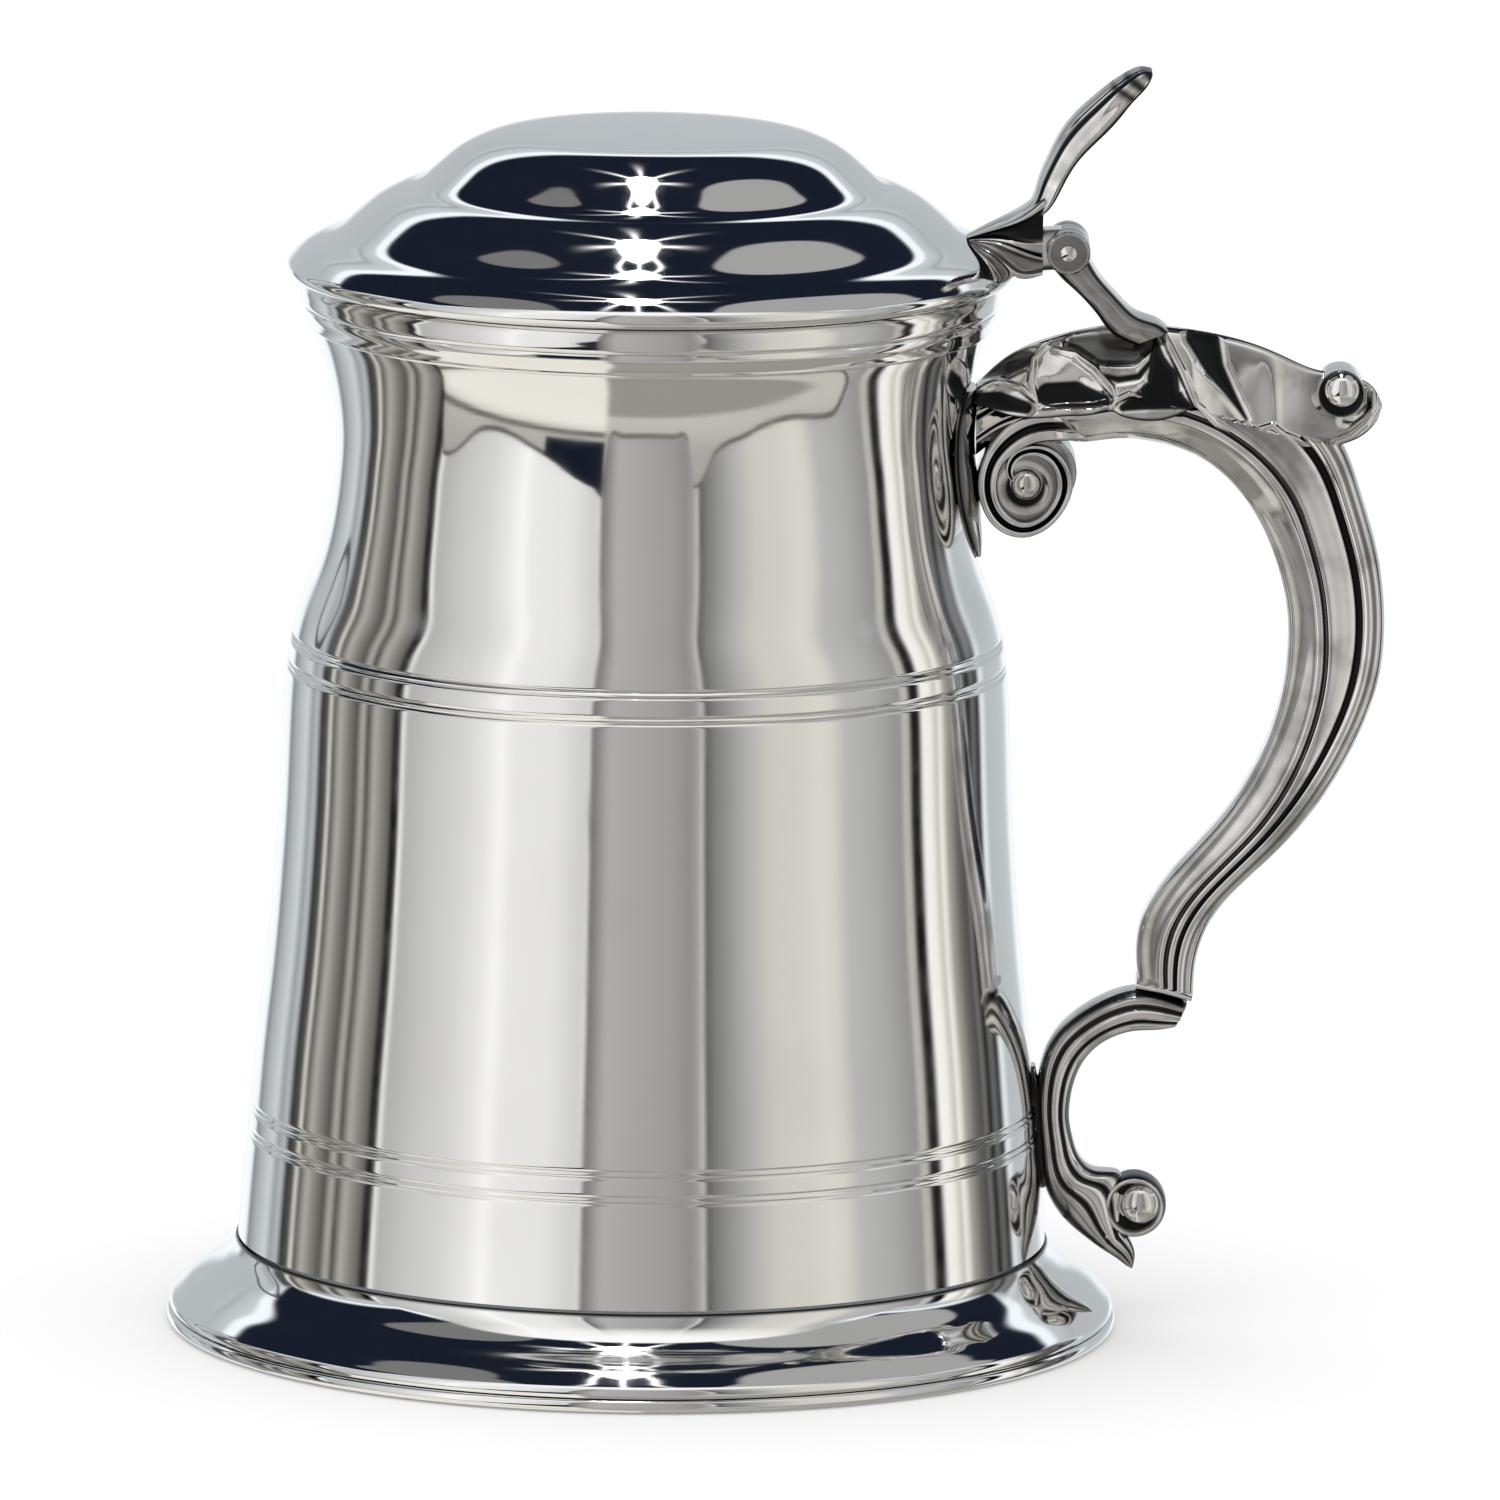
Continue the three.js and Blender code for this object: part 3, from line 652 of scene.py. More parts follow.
def ball(radius, base, sink=0.28):
    """The outline of a ball standing on a face at base, with a ring painted dark as shade where the two
    meet.
    """
    angles = np.linspace(0.002, math.pi * 0.6, 26)
    outline = [(radius * math.sin(a), base + radius * (math.cos(a) - sink), 0) for a in angles]
    return outline + [(radius * 0.5, outline[-1][1] - 0.5, 1), (0.002, outline[-1][1] - 0.5, 1)]


def two_sided(half):
    """The whole outline of a disc from its near half, which runs from the middle to the rim."""
    return [(radius, -across, dark) for radius, across, dark in half] + half[::-1]


def both_sides(name, node, centre, outline):
    """A small turned piece on each side of the handle."""
    for side, word in ((-1, "right"), (1, "left")):
        mirrored = [(radius, side * across, dark) for radius, across, dark in outline]
        cast(turned_on_pin(f"{name}_{word}", centre, mirrored, steps=56), f"{node}_{word}")


# The volute: the stem's inner mouldings roll round into a spiral about an eye.
# Its third column paints shade into the valley between the two rims and along the edges.
RIBBON = eased([
    (0, 0.8, 0.1), (0.012, 0.89, 0.9), (0.03, 0.93, 0.7), (0.09, 0.985, 0), (0.22, 1, 0),
    (0.34, 0.975, 0), (0.42, 0.91, 1), (0.5, 0.88, 1), (0.58, 0.91, 1), (0.66, 0.97, 0), (0.8, 0.99, 0),
    (0.93, 0.95, 0.3), (0.975, 0.89, 0.9), (1, 0.78, 0.1),
], 4)
VOLUTE_STATIONS = [
    (52.2, 107.3, 52.2, 110.7), (49.2, 107.6, 48.6, 111.3), (46.4, 107.4, 44.9, 110.9),
    (43.8, 106.2, 41.5, 108.6), (42, 104.4, 39.7, 105.6), (41.5, 102.3, 39.1, 102.3),
    (41.9, 100.2, 39.8, 99.2), (43.2, 98.6, 41.5, 96.9), (44.9, 98, 44.3, 95.9),
    (46.7, 98.7, 47.2, 96.8), (48, 100.3, 49.4, 99.1), (48.5, 102.4, 50.5, 102.1),
    (48, 104.4, 49.9, 104.8), (46.7, 105.6, 48, 106.8), (45.1, 105.8, 45.6, 107.2),
    (43.7, 104.9, 43.1, 106.1), (43.4, 103.6, 42.4, 104), (43.9, 102.6, 43.4, 102.4),
]
VOLUTE_STEPS = 330
inner_edge, outer_edge = rails(VOLUTE_STATIONS, VOLUTE_STEPS)
ribbon_widths = 5.3 - 2.2 * (1 - smoothstep(np.linspace(0, 1, VOLUTE_STEPS), 0, 0.1))
ribbon = loft("ribbon", inner_edge, outer_edge, ribbon_widths, RIBBON)

# Discs that close the spiral: x, height, radius and how far out the face stands. Each disc's middle and
# rim are painted dark as shade.
WEBS = [(44.8, 101.9, 5.2, 4.45), (46.3, 103.7, 4.6, 4.2)]
webs = []
for x, z, radius, face in WEBS:
    half = [(0.02, face - 0.2, 1), (radius * 0.42, face - 0.2, 1), (radius * 0.5, face - 0.05, 0.1),
            (radius * 0.6, face, 0), (radius * 0.66, face - 0.05, 0.6), (radius - 0.4, face, 0.3),
            (radius, face - 0.3, 0.6)]
    webs.append(turned_on_pin("web", (x, z), two_sided(half), steps=96))
cast(join("handle_volute_scroll", ribbon, *webs), "handle_volute")
both_sides("volute_eye", "volute_boss", (44.9, 102.4), ball(2.05, 4.7))

# The lower scroll ends in a round knob with a ball on each side; the knob's face and rim are painted dark
# as shade.
KNOB_HALF = [
    (0.02, 2.5, 1), (2.75, 2.5, 1), (3, 2.8, 0.5), (3.2, 2.95, 0), (3.4, 2.85, 0.1), (3.6, 2.5, 1),
    (3.78, 1.8, 1), (3.85, 0.6, 1),
]
knob = turned_on_pin("handle_curl", (58.95, 14.6), eased(two_sided(KNOB_HALF), 5), steps=120)
cast(knob, "lower_curl")
both_sides("curl_ball", "lower_boss", (59.6, 14.95), ball(2.65, 2.5, 0.3))


# ---- acanthus leaf ----

# The scalloped lower edge, raised ribs and hollows painted dark as shade, as x, height and half-width.
# Ribs and hollows are drawn on an upright plane, this far to the side, and laid on the leaf at the
# camera's pitch.
LEAF_DRAWN_AT = 5
LEAF_EDGE = [
    (38.1, 112.2), (40.5, 111.5), (43.1, 110.7), (46, 110.5), (49.5, 110.8), (52.6, 111), (54.7, 111.6),
    (56, 110.9), (58, 110.4), (61, 110.4), (63.4, 111.2), (64.9, 111.9), (65.8, 110.9), (67.2, 109.5),
    (68.9, 108.1), (70.7, 107.8), (72.4, 108), (74.4, 108.9), (75.5, 107.8), (77.6, 106.8),
    (79.7, 106.9), (82.6, 107.2), (85.1, 108.3), (86.6, 109.9), (87.2, 111.4),
]
LEAF_RIBS = [
    [(38.1, 113.2, 0.3), (38.9, 114.2, 0.35), (41, 114.8, 0.38), (44.2, 114, 0.36), (46, 112.5, 0.3)],
    [(46, 112.5, 0.3), (45.3, 114.8, 0.38), (45.6, 117.5, 0.34), (47.2, 119.2, 0.25)],
    [(48, 118.6, 0.3), (50.4, 118, 0.5), (52.8, 116.2, 0.55), (54.7, 114.1, 0.5), (55.3, 113.1, 0.3)],
    [(46.6, 111.2, 0.2), (49.5, 111.4, 0.28), (52.6, 111.5, 0.28), (54.7, 112, 0.2)],
    [(54.7, 111.6, 0.2), (55.5, 112.7, 0.3), (57, 113.4, 0.32), (58.6, 113, 0.2)],
    [(61.2, 120.3, 0.3), (61.9, 118.9, 0.42), (63.3, 116.1, 0.45), (64.5, 113.3, 0.4),
     (64.9, 112.4, 0.35)],
    [(64.9, 112.4, 0.35), (65.8, 111.6, 0.38), (67.5, 109.9, 0.4), (69.6, 109, 0.4), (71.7, 109, 0.4),
     (74.1, 109.8, 0.35)],
    [(74.1, 109.8, 0.35), (75.5, 108.7, 0.4), (78, 107.7, 0.42), (81.1, 107.8, 0.42), (83.5, 108.8, 0.42),
     (85.2, 110.3, 0.42), (86.3, 112, 0.4), (86.2, 113.9, 0.3)],
    [(85.3, 114.2, 0.2), (85.2, 112.8, 0.24), (84.2, 111.7, 0.22), (82.9, 111.4, 0.15)],
]
LEAF_HOLLOWS = [
    (0.95, [(38.9, 112.6, 0.9), (41.5, 112.5, 1.2), (44.7, 111.7, 0.8)]),
    (0.75, [(39.9, 115.8, 0.6), (42.5, 117, 1.3), (44.9, 117.8, 1)]),
    (1.0, [(47.5, 113.3, 1.5), (50.5, 113.1, 1.9), (54, 112.6, 0.8)]),
    (0.72, [(50.4, 119.7, 0.7), (54.1, 119, 1.9), (57.2, 119, 1.9), (59.3, 119.5, 1.1)]),
    (1.0, [(53.2, 115.9, 0.25), (55.7, 115.2, 0.4), (58.1, 115.6, 0.4), (59.9, 117.9, 0.3)]),
    (0.95, [(56.3, 111.8, 0.5), (59.9, 113.3, 1.8), (62.5, 112.8, 1.2), (64.1, 112, 0.5)]),
    (0.93, [(60, 120.4, 0.3), (60.3, 117.8, 1), (61, 115.4, 1.9), (61.4, 113.6, 1.7),
            (63, 112.6, 0.8)]),
    (0.93, [(65.7, 120.6, 2), (67.1, 116.8, 1.2), (68.9, 114, 0.65), (71, 110.6, 0.2)]),
    (0.95, [(85.9, 113.3, 0.22), (85.3, 111.2, 0.3), (83.9, 110.2, 0.28), (82.6, 110.5, 0.15)]),
]


def stroke(x, z, path, soft):
    """1 inside a tapering stroke, falling to 0 over its soft edge."""
    depth = np.full(np.shape(x), -9.0)
    for (x0, z0, half0), (x1, z1, half1) in zip(path, path[1:]):
        dx, dz = x1 - x0, z1 - z0
        share = np.clip(((x - x0) * dx + (z - z0) * dz) / (dx * dx + dz * dz), 0, 1)
        distance = np.hypot(x - x0 - share * dx, z - z0 - share * dz)
        depth = np.maximum(depth, half0 + share * (half1 - half0) - distance)
    return smoothstep(depth, -soft, soft)


def leaf():
    """A saddle-shaped leaf with a scalloped edge, raised ribs, and hollows and a lower edge line painted
    dark as shade.
    """
    steps = 640
    crest, edge = rails(LEAF_STATIONS, steps)
    low = np.interp(edge[:, 0], *eased(LEAF_EDGE, 6).T)
    half = along(LEAF_WIDTHS, steps)[:, None]
    place, out, down = leaf_profile()
    side = np.linspace(-1, 1, 181)
    t = np.abs(side)[None]
    drop = np.interp(t, place, down)
    x = crest[:, :1] + (edge[:, :1] - crest[:, :1]) * drop
    z = crest[:, 1:] + (low[:, None] - crest[:, 1:]) * drop
    y = half * np.interp(t, place, out)
    drawn = z + (LEAF_DRAWN_AT - y) * math.tan(CAMERA_PITCH)
    rib = np.max([stroke(x, drawn, path, 0.26) for path in LEAF_RIBS], axis=0)
    hollow_shade = np.max([strength * stroke(x, drawn, path, 0.22) for strength, path in LEAF_HOLLOWS], axis=0)
    bowl = np.max([stroke(x, drawn, path, 0.9) for _, path in LEAF_HOLLOWS], axis=0)
    fade = smoothstep(t, 0.02, 0.16) * np.clip((crest[:, 1:] - low[:, None]) / 5, 0, 1)
    relief = (0.42 * rib - 0.5 * bowl * (1 - rib) + 0.12) * fade
    slope = np.radians(40 - 30 * t)
    z = z + relief * np.sin(slope)
    y = y + relief * np.cos(slope)
    outer = np.stack([x, np.sign(side) * y, z], axis=-1)
    outer[:, len(side) // 2, 1] = 0
    middle = outer.mean(axis=1, keepdims=True) * [1, 0, 1]
    under = middle + (outer - middle) * [0.92, 0.84, 0.84]
    # Painted shade: dark hollows between the ribs, and a dark line along the lower edge.
    edge_shade = smoothstep(drop, 0.955, 0.99) * (1 - rib)
    stain_and_shade = np.maximum(1.15 * hollow_shade * (1 - rib), edge_shade) * smoothstep(t, 0.0, 0.06)
    return shell("leaf", outer, under, stain_and_shade)


cast(leaf(), "acanthus_leaf")

# The leaf's tip rolls round a collar that carries a ball on each side; the collar's face and rim are
# painted dark as shade.
COLLAR_HALF = [
    (0.02, 3.6, 1), (2.4, 3.6, 1), (2.6, 3.7, 1), (2.72, 3.85, 0.6), (2.82, 3.7, 0.2), (2.86, 3, 0.2),
]
cast(turned_on_pin("leaf_roll", (82.2, 113.5), two_sided(COLLAR_HALF), steps=96), "leaf_scroll")
both_sides("leaf_ball", "leaf_boss", (82.3, 113.95), ball(2.35, 3.9, 0.4))


# ---- back plates ----

def drum_radius(heights):
    curve = spline(DRUM_OUTSIDE, 400)
    return np.interp(heights, curve[:, 1], curve[:, 0])


def back_plate(name, levels, thickness):
    """A shaped plate lying on the drum. levels gives height, half-width and share of the thickness."""
    profile = spline(levels, 70)
    across = np.linspace(-1, 1, 41)
    outer, inner = [], []
    for height, half, share in profile:
        half = max(half, 0.05)
        y = across * half
        lift = thickness * share * (1 - np.abs(across) ** 4) + 0.12
        base = drum_radius(height)
        for store, radius in ((outer, base + lift), (inner, base + 0.02)):
            x = np.sqrt(np.maximum(radius ** 2 - y ** 2, 0))
            store.append(np.column_stack([x, y, 0 * y + height]))
    stain_and_shade = np.tile(np.clip(np.abs(across) * 5 - 4, 0, 1), (len(profile), 1))
    return shell(name, np.array(outer), np.array(inner), stain_and_shade)


UPPER_LEVELS = [
    (113.4, 4.6, 0.6), (111.5, 6.2, 1), (107, 6.4, 1.3), (102, 6, 1.5), (98, 4.8, 1.4),
    (95.4, 2.8, 1.1), (92.9, 0.4, 0.4),
]
LOWER_LEVELS = [(31.4, 1.6, 0.5), (29, 3.2, 0.9), (24, 3.4, 1.0), (19, 3.1, 0.9), (16.6, 1.4, 0.5)]
cast(back_plate("handle_back_plate", UPPER_LEVELS, 1.1), "upper_back_plate")
cast(back_plate("lower_scroll_plate", LOWER_LEVELS, 0.6), "lower_back_plate")


# ---- hinge ----

KNUCKLE = 2.6                    # radius of the barrel
HEAD_HALF = 4.8                  # half of the strap's head, over its two cheeks
LID_KNUCKLE_HALF = 2.3
KNUCKLE_GAP = 0.25


def knuckle(name, low, high):
    """One knuckle of the hinge barrel, with eased edges, its meeting faces painted dark and its round
    side painted darker, as shade.
    """
    ease = 0.22
    low_dark, high_dark = [1 if abs(across) < HEAD_HALF - 0.1 else 0.65 for across in (low, high)]
    outline = [
        (0.02, low, low_dark), (KNUCKLE - 0.5, low, low_dark), (KNUCKLE - ease, low, low_dark * 0.2),
        (KNUCKLE, low + ease, 0.6), (KNUCKLE, high - ease, 0.6),
        (KNUCKLE - ease, high, high_dark * 0.2), (KNUCKLE - 0.5, high, high_dark),
        (0.02, high, high_dark),
    ]
    return turned_on_pin(name, HINGE, outline, steps=80, sharp=30)


# A flat-sided bar with small round edges, painted dark as shade.
FLAT_SIDED = eased([
    (0, 0.7, 0), (0.02, 0.84, 0.7), (0.1, 0.95, 0.9), (0.18, 0.99, 0.2), (0.5, 0.97, 0.1),
    (0.8, 0.99, 0.1), (0.9, 0.95, 0.5), (0.97, 0.84, 0.7), (1, 0.7, 0),
], 3)
STRAP_STATIONS = [
    (47.6, 128.4, 50.9, 131.4), (48.9, 126.9, 51.9, 129.4), (50.3, 125.6, 53.1, 127.3),
    (51.8, 124.1, 54.6, 125.5), (53.1, 122.6, 56.1, 123.9), (54.2, 121.1, 57.9, 122.4),
    (55.6, 119.9, 60.2, 121.6), (57.5, 119, 61.6, 120.6),
]
STRAP_WIDTHS = [4.5, 4.4, 4, 3.7, 3.8, 4, 4, 3.4]
# The arm is darker all over as well.
arm = bar("strap_arm", STRAP_STATIONS, 110, STRAP_WIDTHS, FLAT_SIDED + [0, 0, 0.42])
CHEEK_START = LID_KNUCKLE_HALF + KNUCKLE_GAP
right_cheek = knuckle("cheek_right", -HEAD_HALF, -CHEEK_START)
left_cheek = knuckle("cheek_left", CHEEK_START, HEAD_HALF)
cast(join("hinge_strut", arm, right_cheek, left_cheek), "hinge_strap")

PIN_RADIUS = 0.78
# The rivet's heads are painted dark as shade where they meet the cheeks.
PIN_HALF = [
    (0.02, HEAD_HALF + 0.5, 0), (PIN_RADIUS - 0.3, HEAD_HALF + 0.42, 0),
    (PIN_RADIUS + 0.15, HEAD_HALF + 0.25, 0), (PIN_RADIUS + 0.2, HEAD_HALF + 0.05, 0.8),
    (PIN_RADIUS, HEAD_HALF + 0.02, 1),
]
cast(turned_on_pin("hinge_rivet", HINGE, two_sided(PIN_HALF), steps=40), "hinge_pin")

# The tongue runs from the lid's flange to the middle knuckle, under the thumbpiece.
# Its third column paints the hollow middle of each side dark as shade.
HOLLOW_SIDED = eased([
    (0, 0.8, 0.1), (0.03, 0.92, 0.3), (0.1, 1, 0), (0.2, 0.99, 0), (0.27, 0.9, 0.5), (0.5, 0.8, 0.55),
    (0.78, 0.88, 0.5), (0.85, 0.97, 0.1), (0.93, 0.98, 0), (0.98, 0.9, 0.4), (1, 0.78, 0.1),
], 4)
TONGUE_STATIONS = [
    (38.2, 130.9, 38.3, 131.3), (40.4, 129.7, 40.6, 131.5), (42.2, 128.1, 42.6, 131.1),
    (43.6, 127, 44.3, 130.5), (45.6, 127.1, 45.9, 129.9), (46.55, 127.4, 46.6, 129.7),
]
plate = bar("tongue_plate", TONGUE_STATIONS, 60, [2.6, 4.2, 4.8, 4.8, 4.7, 4.6], HOLLOW_SIDED)
NECK_STATIONS = [(45.8, 127.5, 46, 132.4), (47.4, 127.7, 47.8, 132.6), (49.4, 127.7, 49.8, 132.7)]
neck = bar("tongue_neck", NECK_STATIONS, 20, [2.25, 2.25, 2.25], FLAT_SIDED)
lid_knuckle = knuckle("lid_knuckle", -LID_KNUCKLE_HALF, LID_KNUCKLE_HALF)
cast(join("lid_tongue_plate", plate, neck, lid_knuckle), "lid_tongue", "lid")

# The thumbpiece: a hollow-sided base on the tongue, painted dark as shade, and a bent plate with a
# crowned front.
THUMB_BASE_STATIONS = [
    (37.6, 131.2, 37.6, 131.5), (39.5, 131.4, 39.7, 132.5), (41.5, 131.3, 41.7, 133.4),
    (43.5, 130.7, 43.6, 134.4), (45.2, 130.1, 45.3, 135.6), (46.5, 129.8, 46.6, 136.8),
]
THUMB_BASE_WIDTHS = [1.6, 3.2, 4.2, 4.7, 4.8, 4.7]
# The base's sides are painted darker still, as shade.
thumb_base = bar("thumb_base", THUMB_BASE_STATIONS, 60, THUMB_BASE_WIDTHS, HOLLOW_SIDED * [1, 1, 1.9])
# The lever's section; its third column paints a band across the front and the back edge dark, as painted
# dark reflections.
LEVER_SECTION = eased([
    (0, 0.3, 0.6), (0.03, 0.5, 0.7), (0.07, 0.62, 0.1), (0.12, 0.7, 0), (0.15, 0.76, 0.4),
    (0.19, 0.84, 1), (0.31, 0.87, 1), (0.35, 0.885, 0), (0.6, 0.94, 0), (0.86, 0.99, 0),
    (0.91, 0.985, 0.9), (0.985, 0.93, 1), (1, 0.86, 0.1),
], 4)
THUMB_STATIONS = [
    (37.4, 131.45, 37.6, 131.3), (39.2, 132.3, 39.6, 131.8), (41.2, 133.3, 42, 132.5),
    (43.4, 134.3, 44.8, 133.6), (45, 135.7, 47, 135), (45.9, 138.3, 48.6, 137.6),
    (46.9, 140.8, 49.9, 140.1), (48.2, 143.5, 51.5, 142.2), (50, 146, 53.7, 144.4),
    (52.2, 148.1, 55.6, 146.5), (54.2, 149.8, 57, 148.2), (56.2, 151.2, 58.4, 149.6),
    (57.9, 151.9, 59.1, 150.6), (59.2, 151.7, 59.35, 151.3),
]
THUMB_WIDTHS = [0.6, 2.6, 3.8, 4.3, 4.7, 5, 5.1, 5.15, 5.15, 5.15, 5.1, 4.9, 4.2, 2.4]
THUMB_STEPS = 150


def lever_sections():
    """The lever's section at each step, with its tip painted dark as shade, crossed by two bands left
    bright as painted highlights.
    """
    run = np.linspace(0, 1, THUMB_STEPS)[:, None]
    highlight_bands = sum(np.exp(-((run - middle) / 0.014) ** 2) for middle in (0.885, 0.945))
    sections = np.repeat(LEVER_SECTION[None], THUMB_STEPS, axis=0)
    sections[:, :, 2] = np.maximum(sections[:, :, 2], smoothstep(run, 0.82, 0.86) * (1 - highlight_bands))
    return sections


lever = bar("lever", THUMB_STATIONS, THUMB_STEPS, THUMB_WIDTHS, lever_sections())
cast(join("thumb_lever", lever, thumb_base), "thumbpiece", "lid")


# ---- studio ----

def floor():
    """A plain pale floor. The metal mirrors the studio instead of it, as it would on a small plinth."""
    reach = 3
    gap = 0.0002                 # below the foot, so that the two faces never meet
    mesh = bpy.data.meshes.new("studio_floor")
    corners = [(-reach, -reach, 0), (reach, -reach, 0), (reach, reach, 0), (-reach, reach, 0)]
    mesh.from_pydata(corners, [], [(0, 1, 2, 3)])
    piece = bpy.data.objects.new("studio_floor", mesh)
    bpy.context.scene.collection.objects.link(piece)
    piece.location.z = cad_bounds[0][2] - gap
    material = bpy.data.materials.new("pale_floor")
    material.use_nodes = True
    shader = material.node_tree.nodes["Principled BSDF"]
    shader.inputs["Base Color"].default_value = (0.95, 0.95, 0.95, 1)
    shader.inputs["Roughness"].default_value = 0.9
    shader.inputs["Specular IOR Level"].default_value = 0.0
    mesh.materials.append(material)
    piece.visible_glossy = False


floor()

NEUTRAL = (1, 1, 1)
WARM = (1.03, 1.0, 0.93)
COOL = (0.94, 1.0, 1.05)
MAUVE = (1.03, 0.99, 1.0)
NIGHT = (0.006, 0.009, 0.019)    # the dark ceiling and a dark flag, as light and not as grey

# What stands round the tankard, by tint, as azimuth and grey: 0 degrees is towards the camera, and
# 90 towards the handle.
LEFT_SIDE = [
    (COOL, [(-180, 0.84), (-165, 0.95), (-156, 0.93), (-152, 0.52), (-146, 0.66), (-136, 0.8),
        (-132, 0.6), (-128, 0.72)]),
    (WARM, [(-125, 0.2), (-121, 0.3), (-119, 0.84), (-117, 0.28), (-113, 0.66), (-109, 0.5),
        (-104, 0.3), (-101, 0.68), (-98.5, 0.22), (-95, 0.66), (-91, 0.5), (-88, 0.4)]),
    (NEUTRAL, [(-86.5, 0.05), (-84, 0.04), (-83, 0.98), (-81, 0.68), (-70, 0.77)]),
]
FRONT = [
    (NEUTRAL, [(-70, 0.77), (-60, 0.82), (-51, 0.9), (-46, 0.97), (-42, 0.91), (-28, 0.89),
        (-19, 0.8), (-17.4, 0.86)]),
    (MAUVE, [(-16.4, 0.4), (-14, 0.55), (-11, 0.67), (0, 0.63), (9, 0.6), (14, 0.54),
        (16.6, 0.6)]),
    (NEUTRAL, [(18, 0.8), (19, 0.28), (21, 0.46), (26, 0.57), (32, 0.68)]),
    (WARM, [(40, 0.78), (50, 0.8), (57, 0.83), (61, 0.81)]),
    (NEUTRAL, [(66, 0.71), (76, 0.67), (86, 0.58), (88, 0.56)]),
]
RIGHT_SIDE = [
    (NEUTRAL, [(88, 0.56)]), (WARM, [(89.5, 0.72), (91.5, 0.7), (93, 0.2)]),
    (NEUTRAL, [(94, 0.02), (96.5, 0.02), (98.5, 0.96)]),
    (WARM, [(102, 0.93), (105, 0.74), (107, 0.94), (110, 0.62), (115, 0.4), (119, 0.3)]),
    (NEUTRAL, [(121, 0.44), (124, 0.04), (127, 0.42), (131, 0.03)]),
    (COOL, [(134, 0.92), (138, 0.72), (149, 0.73), (156, 0.75), (164, 0.94), (180, 0.84)]),
]
# Outward from the dark ceiling's edge, in degrees: place and grey.
BORDER = [
    (0, 0.97), (2.4, 0.97), (3.4, 0.78), (6, 0.74), (7.2, 0.58), (8.2, 0.84), (10, 0.76), (13, 0.72),
    (14.5, 0.54), (15.5, 0.8), (19, 0.74), (22, 0.6), (24, 0.82), (29, 0.76), (33, 0.84), (40, 0.78),
]
# The table's far edge: azimuth, and how far below the horizon, in units of 60 degrees.
EDGE_UNIT = 60
TABLE_EDGE = [
    (-180, 0.62), (-96, 0.62), (-86, 0.6), (-83, 0.3), (-67, 0.46), (-49, 0.45), (-33, 0.33),
    (-19, 0.16), (-16.2, 0.13), (-15.6, 0.5), (-10, 0.53), (10, 0.53), (15.6, 0.5), (16.2, 0.17),
    (24.8, 0.42), (40, 0.52), (56, 0.56), (76, 0.52), (84, 0.6), (180, 0.62),
]
# The table's left and right parts: height in degrees, from straight down, and grey.
TABLE_LEFT = [
    (-90, 0.74), (-60, 0.88), (-36, 0.9), (-34, 0.82), (-33.2, 0.35), (-32.2, 0.4), (-31.6, 0.7),
    (-26, 0.66), (-10, 0.62),
]
TABLE_RIGHT = [
    (-90, 0.7), (-55, 0.58), (-40, 0.56), (-39.3, 0.5), (-38.6, 0.74), (-34, 0.72), (-28, 0.66),
    (-10, 0.64),
]
BRIGHTEST = 1.45                 # studio white, so that pewter still mirrors it as white


def tone(grey, tint=NEUTRAL):
    """A display grey as the light that pewter has to mirror to show it, as a share of the brightest."""
    light = grey ** 2.2 / 0.79 / BRIGHTEST
    return tuple(min(1.0, light * c) for c in tint)


def coloured(groups):
    """The colour stops of a ramp from stops grouped by tint."""
    return [(where, tone(grey, tint)) for tint, stops in groups for where, grey in stops]


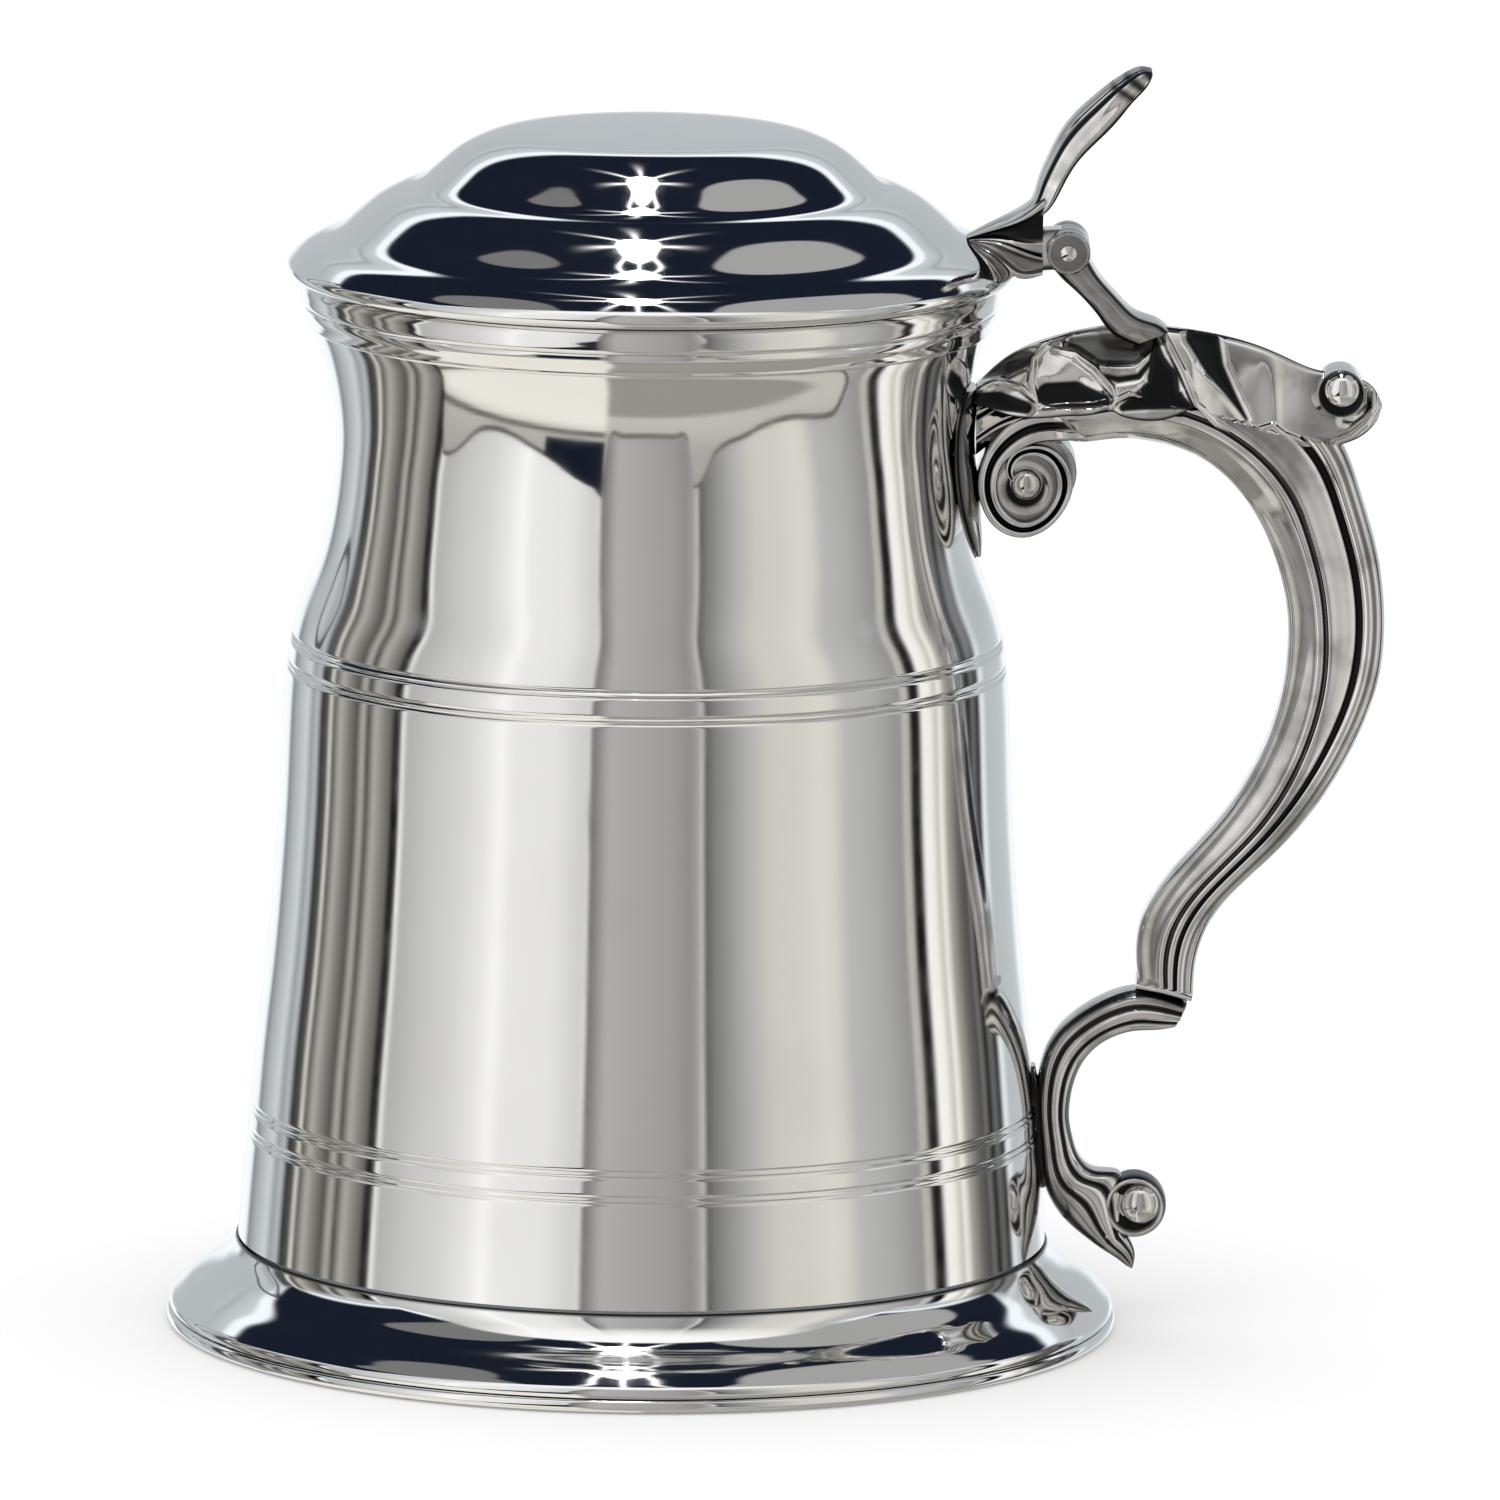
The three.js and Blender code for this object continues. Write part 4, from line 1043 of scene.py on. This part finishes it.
def studio():
    """White to the camera and to the floor, and a set of panels, flags and lamps to the metal."""
    world = bpy.data.worlds.new("studio")
    bpy.context.scene.world = world
    world.use_nodes = True
    g = Graph(world.node_tree)
    output = g.add("ShaderNodeOutputWorld")
    split = g.add("ShaderNodeSeparateXYZ")
    g.link(g.add("ShaderNodeTexCoord").outputs["Generated"], split.inputs[0])
    x, y, z = split.outputs
    degrees = 180 / math.pi
    front = g.times(y, -1)
    azimuth = g.times(g.math("ARCTAN2", x, front), degrees)
    away = g.math("ABSOLUTE", azimuth)
    height = g.times(g.math("ARCSINE", z), degrees)
    over = g.times(g.math("ARCTAN2", z, front), degrees)        # 90 overhead, 180 behind
    aside = g.times(g.math("ARCSINE", x), degrees)
    aside_size = g.math("ABSOLUTE", aside)

    left = g.ramp(azimuth, -180, -70, coloured(LEFT_SIDE))
    middle = g.ramp(azimuth, -70, 88, coloured(FRONT))
    right = g.ramp(azimuth, 88, 180, coloured(RIGHT_SIDE))
    walls = g.mix(g.math("GREATER_THAN", azimuth, -70), left, middle)
    walls = g.mix(g.math("GREATER_THAN", azimuth, 88), walls, right)

    # the walls brighten towards their tops, and the backdrop glows behind the lid
    top_glow = g.times(g.fade(height, 52, 70), g.fade(away, 150, 110))
    walls = g.mix(top_glow, walls, tone(0.97))

    # round the dark ceiling: a white border, then soft greys with thin seams
    past_back = g.minus(over, 142)
    past_front = g.minus(78, over)
    past_end = g.times(g.math("MAXIMUM", past_back, past_front), 0.6)
    beyond = g.math("MAXIMUM", g.minus(aside_size, 53), past_end)
    border = g.ramp(beyond, 0, 40, coloured([(COOL, BORDER)]))
    upper = g.math("MAXIMUM", g.fade(aside_size, 36, 46), g.fade(past_back, -1, 1))
    upper = g.times(upper, g.fade(over, 68, 76))
    backdrop = g.times(g.fade(away, 118, 150), g.fade(height, -3, 5))
    walls = g.mix(backdrop, walls, tone(0.70, COOL))
    walls = g.mix(g.times(g.fade(height, 20, 30), upper), walls, border)

    # a narrow loop of shadow behind the left shoulder
    loop_side = g.math("DIVIDE", g.math("ADD", azimuth, 134), 6)
    loop_rise = g.math("DIVIDE", g.minus(height, 14), 15)
    loop = g.inside(g.squares(loop_side, loop_rise), 0.70, 1.0, 0.1)
    walls = g.mix(g.times(loop, 0.85), walls, tone(0.16))

    # the table in front of the walls, with a dark flag on it and a dark line along its far edge
    edge = g.ramp(azimuth, -180, 180, [(where, (drop,) * 3) for where, drop in TABLE_EDGE], "CARDINAL")
    depth = g.math("MULTIPLY_ADD", edge, EDGE_UNIT, height)
    table_left = g.ramp(height, -90, -10, coloured([(WARM, TABLE_LEFT)]))
    table_right = g.ramp(height, -90, -10, coloured([(WARM, TABLE_RIGHT)]))
    table = g.mix(g.fade(azimuth, -18, -15), table_left, table_right)
    wedge = g.times(g.inside(azimuth, -40, -16.6, 0.6), g.inside(height, -30.5, -5, 0.5))
    table = g.mix(wedge, table, NIGHT)
    scene = g.mix(g.fade(depth, -0.6, 0.6), table, walls)
    line = g.inside(depth, -1.7, -0.2, 0.4)
    scene = g.mix(g.times(line, 0.85), scene, tone(0.14))

    # the dark ceiling, with a large grey softbox to the right and a small one to the left
    def softbox(centre, reach, rise):
        across = g.math("DIVIDE", g.minus(aside, centre), reach)
        up = g.math("DIVIDE", g.minus(over, g.math("MULTIPLY_ADD", aside_size, 0.5, 74)), rise)
        size = g.math("ADD", g.math("POWER", g.math("ABSOLUTE", across), 2.6), g.times(up, up))
        return g.fade(size, 1.08, 0.92)

    inner = g.mix(softbox(32, 20, 29), NIGHT, tone(0.62))
    inner = g.mix(softbox(-28, 11, 17), inner, tone(0.45))
    ends = [g.fade(past_front, 1.5, -1.5), g.fade(past_back, 1.5, -1.5)]
    scene = g.mix(g.times(*ends, g.fade(aside_size, 55, 51)), scene, inner)

    # a small lamp above, slightly left, with eight thin streaks
    lamp_aside = g.math("ADD", aside, 2.2)
    lamp_over = g.math("DIVIDE", g.minus(over, 97), 2.6)
    distance = g.math("SQRT", g.squares(lamp_aside, lamp_over))
    turn = g.math("ARCTAN2", lamp_over, lamp_aside)
    arms = g.math("POWER", g.math("ABSOLUTE", g.math("COSINE", g.times(turn, 4))), 30)
    reach = g.fade(distance, 15, 1)
    streaks = g.times(arms, reach, reach, 5)
    lamp = g.math("MULTIPLY_ADD", g.fade(distance, 4.0, 2.4), 40, streaks)

    panels = g.add("ShaderNodeBackground")
    g.link(scene, panels.inputs["Color"])
    panels.inputs["Strength"].default_value = BRIGHTEST
    spot = g.add("ShaderNodeBackground")
    g.link(lamp, spot.inputs["Strength"])
    both = g.add("ShaderNodeAddShader")
    g.link(panels.outputs[0], both.inputs[0])
    g.link(spot.outputs[0], both.inputs[1])
    plain = g.add("ShaderNodeBackground")
    plain.inputs["Color"].default_value = (1, 1, 1, 1)
    plain.inputs["Strength"].default_value = 1.2
    choose = g.add("ShaderNodeMixShader")
    g.link(g.add("ShaderNodeLightPath").outputs["Is Glossy Ray"], choose.inputs[0])
    g.link(plain.outputs[0], choose.inputs[1])
    g.link(both.outputs[0], choose.inputs[2])
    g.link(choose.outputs[0], output.inputs[0])


studio()


def camera():
    """A long lens, looking along +Y from about ten degrees above."""
    roll, distance = math.radians(0.59), 2.4293
    drop, to_right, to_up = 5.3, 12.41, 73.4      # from the drum's axis on the table to the aim
    right = Vector((1, 0, 0))
    up = Vector((0, math.sin(CAMERA_PITCH), math.cos(CAMERA_PITCH)))
    back = Vector((0, -math.cos(CAMERA_PITCH), math.sin(CAMERA_PITCH)))
    aim = Vector((AXIS_X, 0, TABLE_Z - drop)) * MM + (right * to_right + up * to_up) * MM
    data = bpy.data.cameras.new("camera")
    data.lens = 485.9
    data.sensor_width = 36
    data.clip_end = 20
    item = bpy.data.objects.new("camera", data)
    bpy.context.scene.collection.objects.link(item)
    turned_right = right * math.cos(roll) + up * math.sin(roll)
    turned_up = up * math.cos(roll) - right * math.sin(roll)
    axes = Matrix((turned_right, turned_up, back)).transposed().to_4x4()
    item.matrix_world = Matrix.Translation(aim + back * distance) @ axes
    bpy.context.scene.camera = item


camera()
bpy.context.scene.view_settings.view_transform = "Standard"
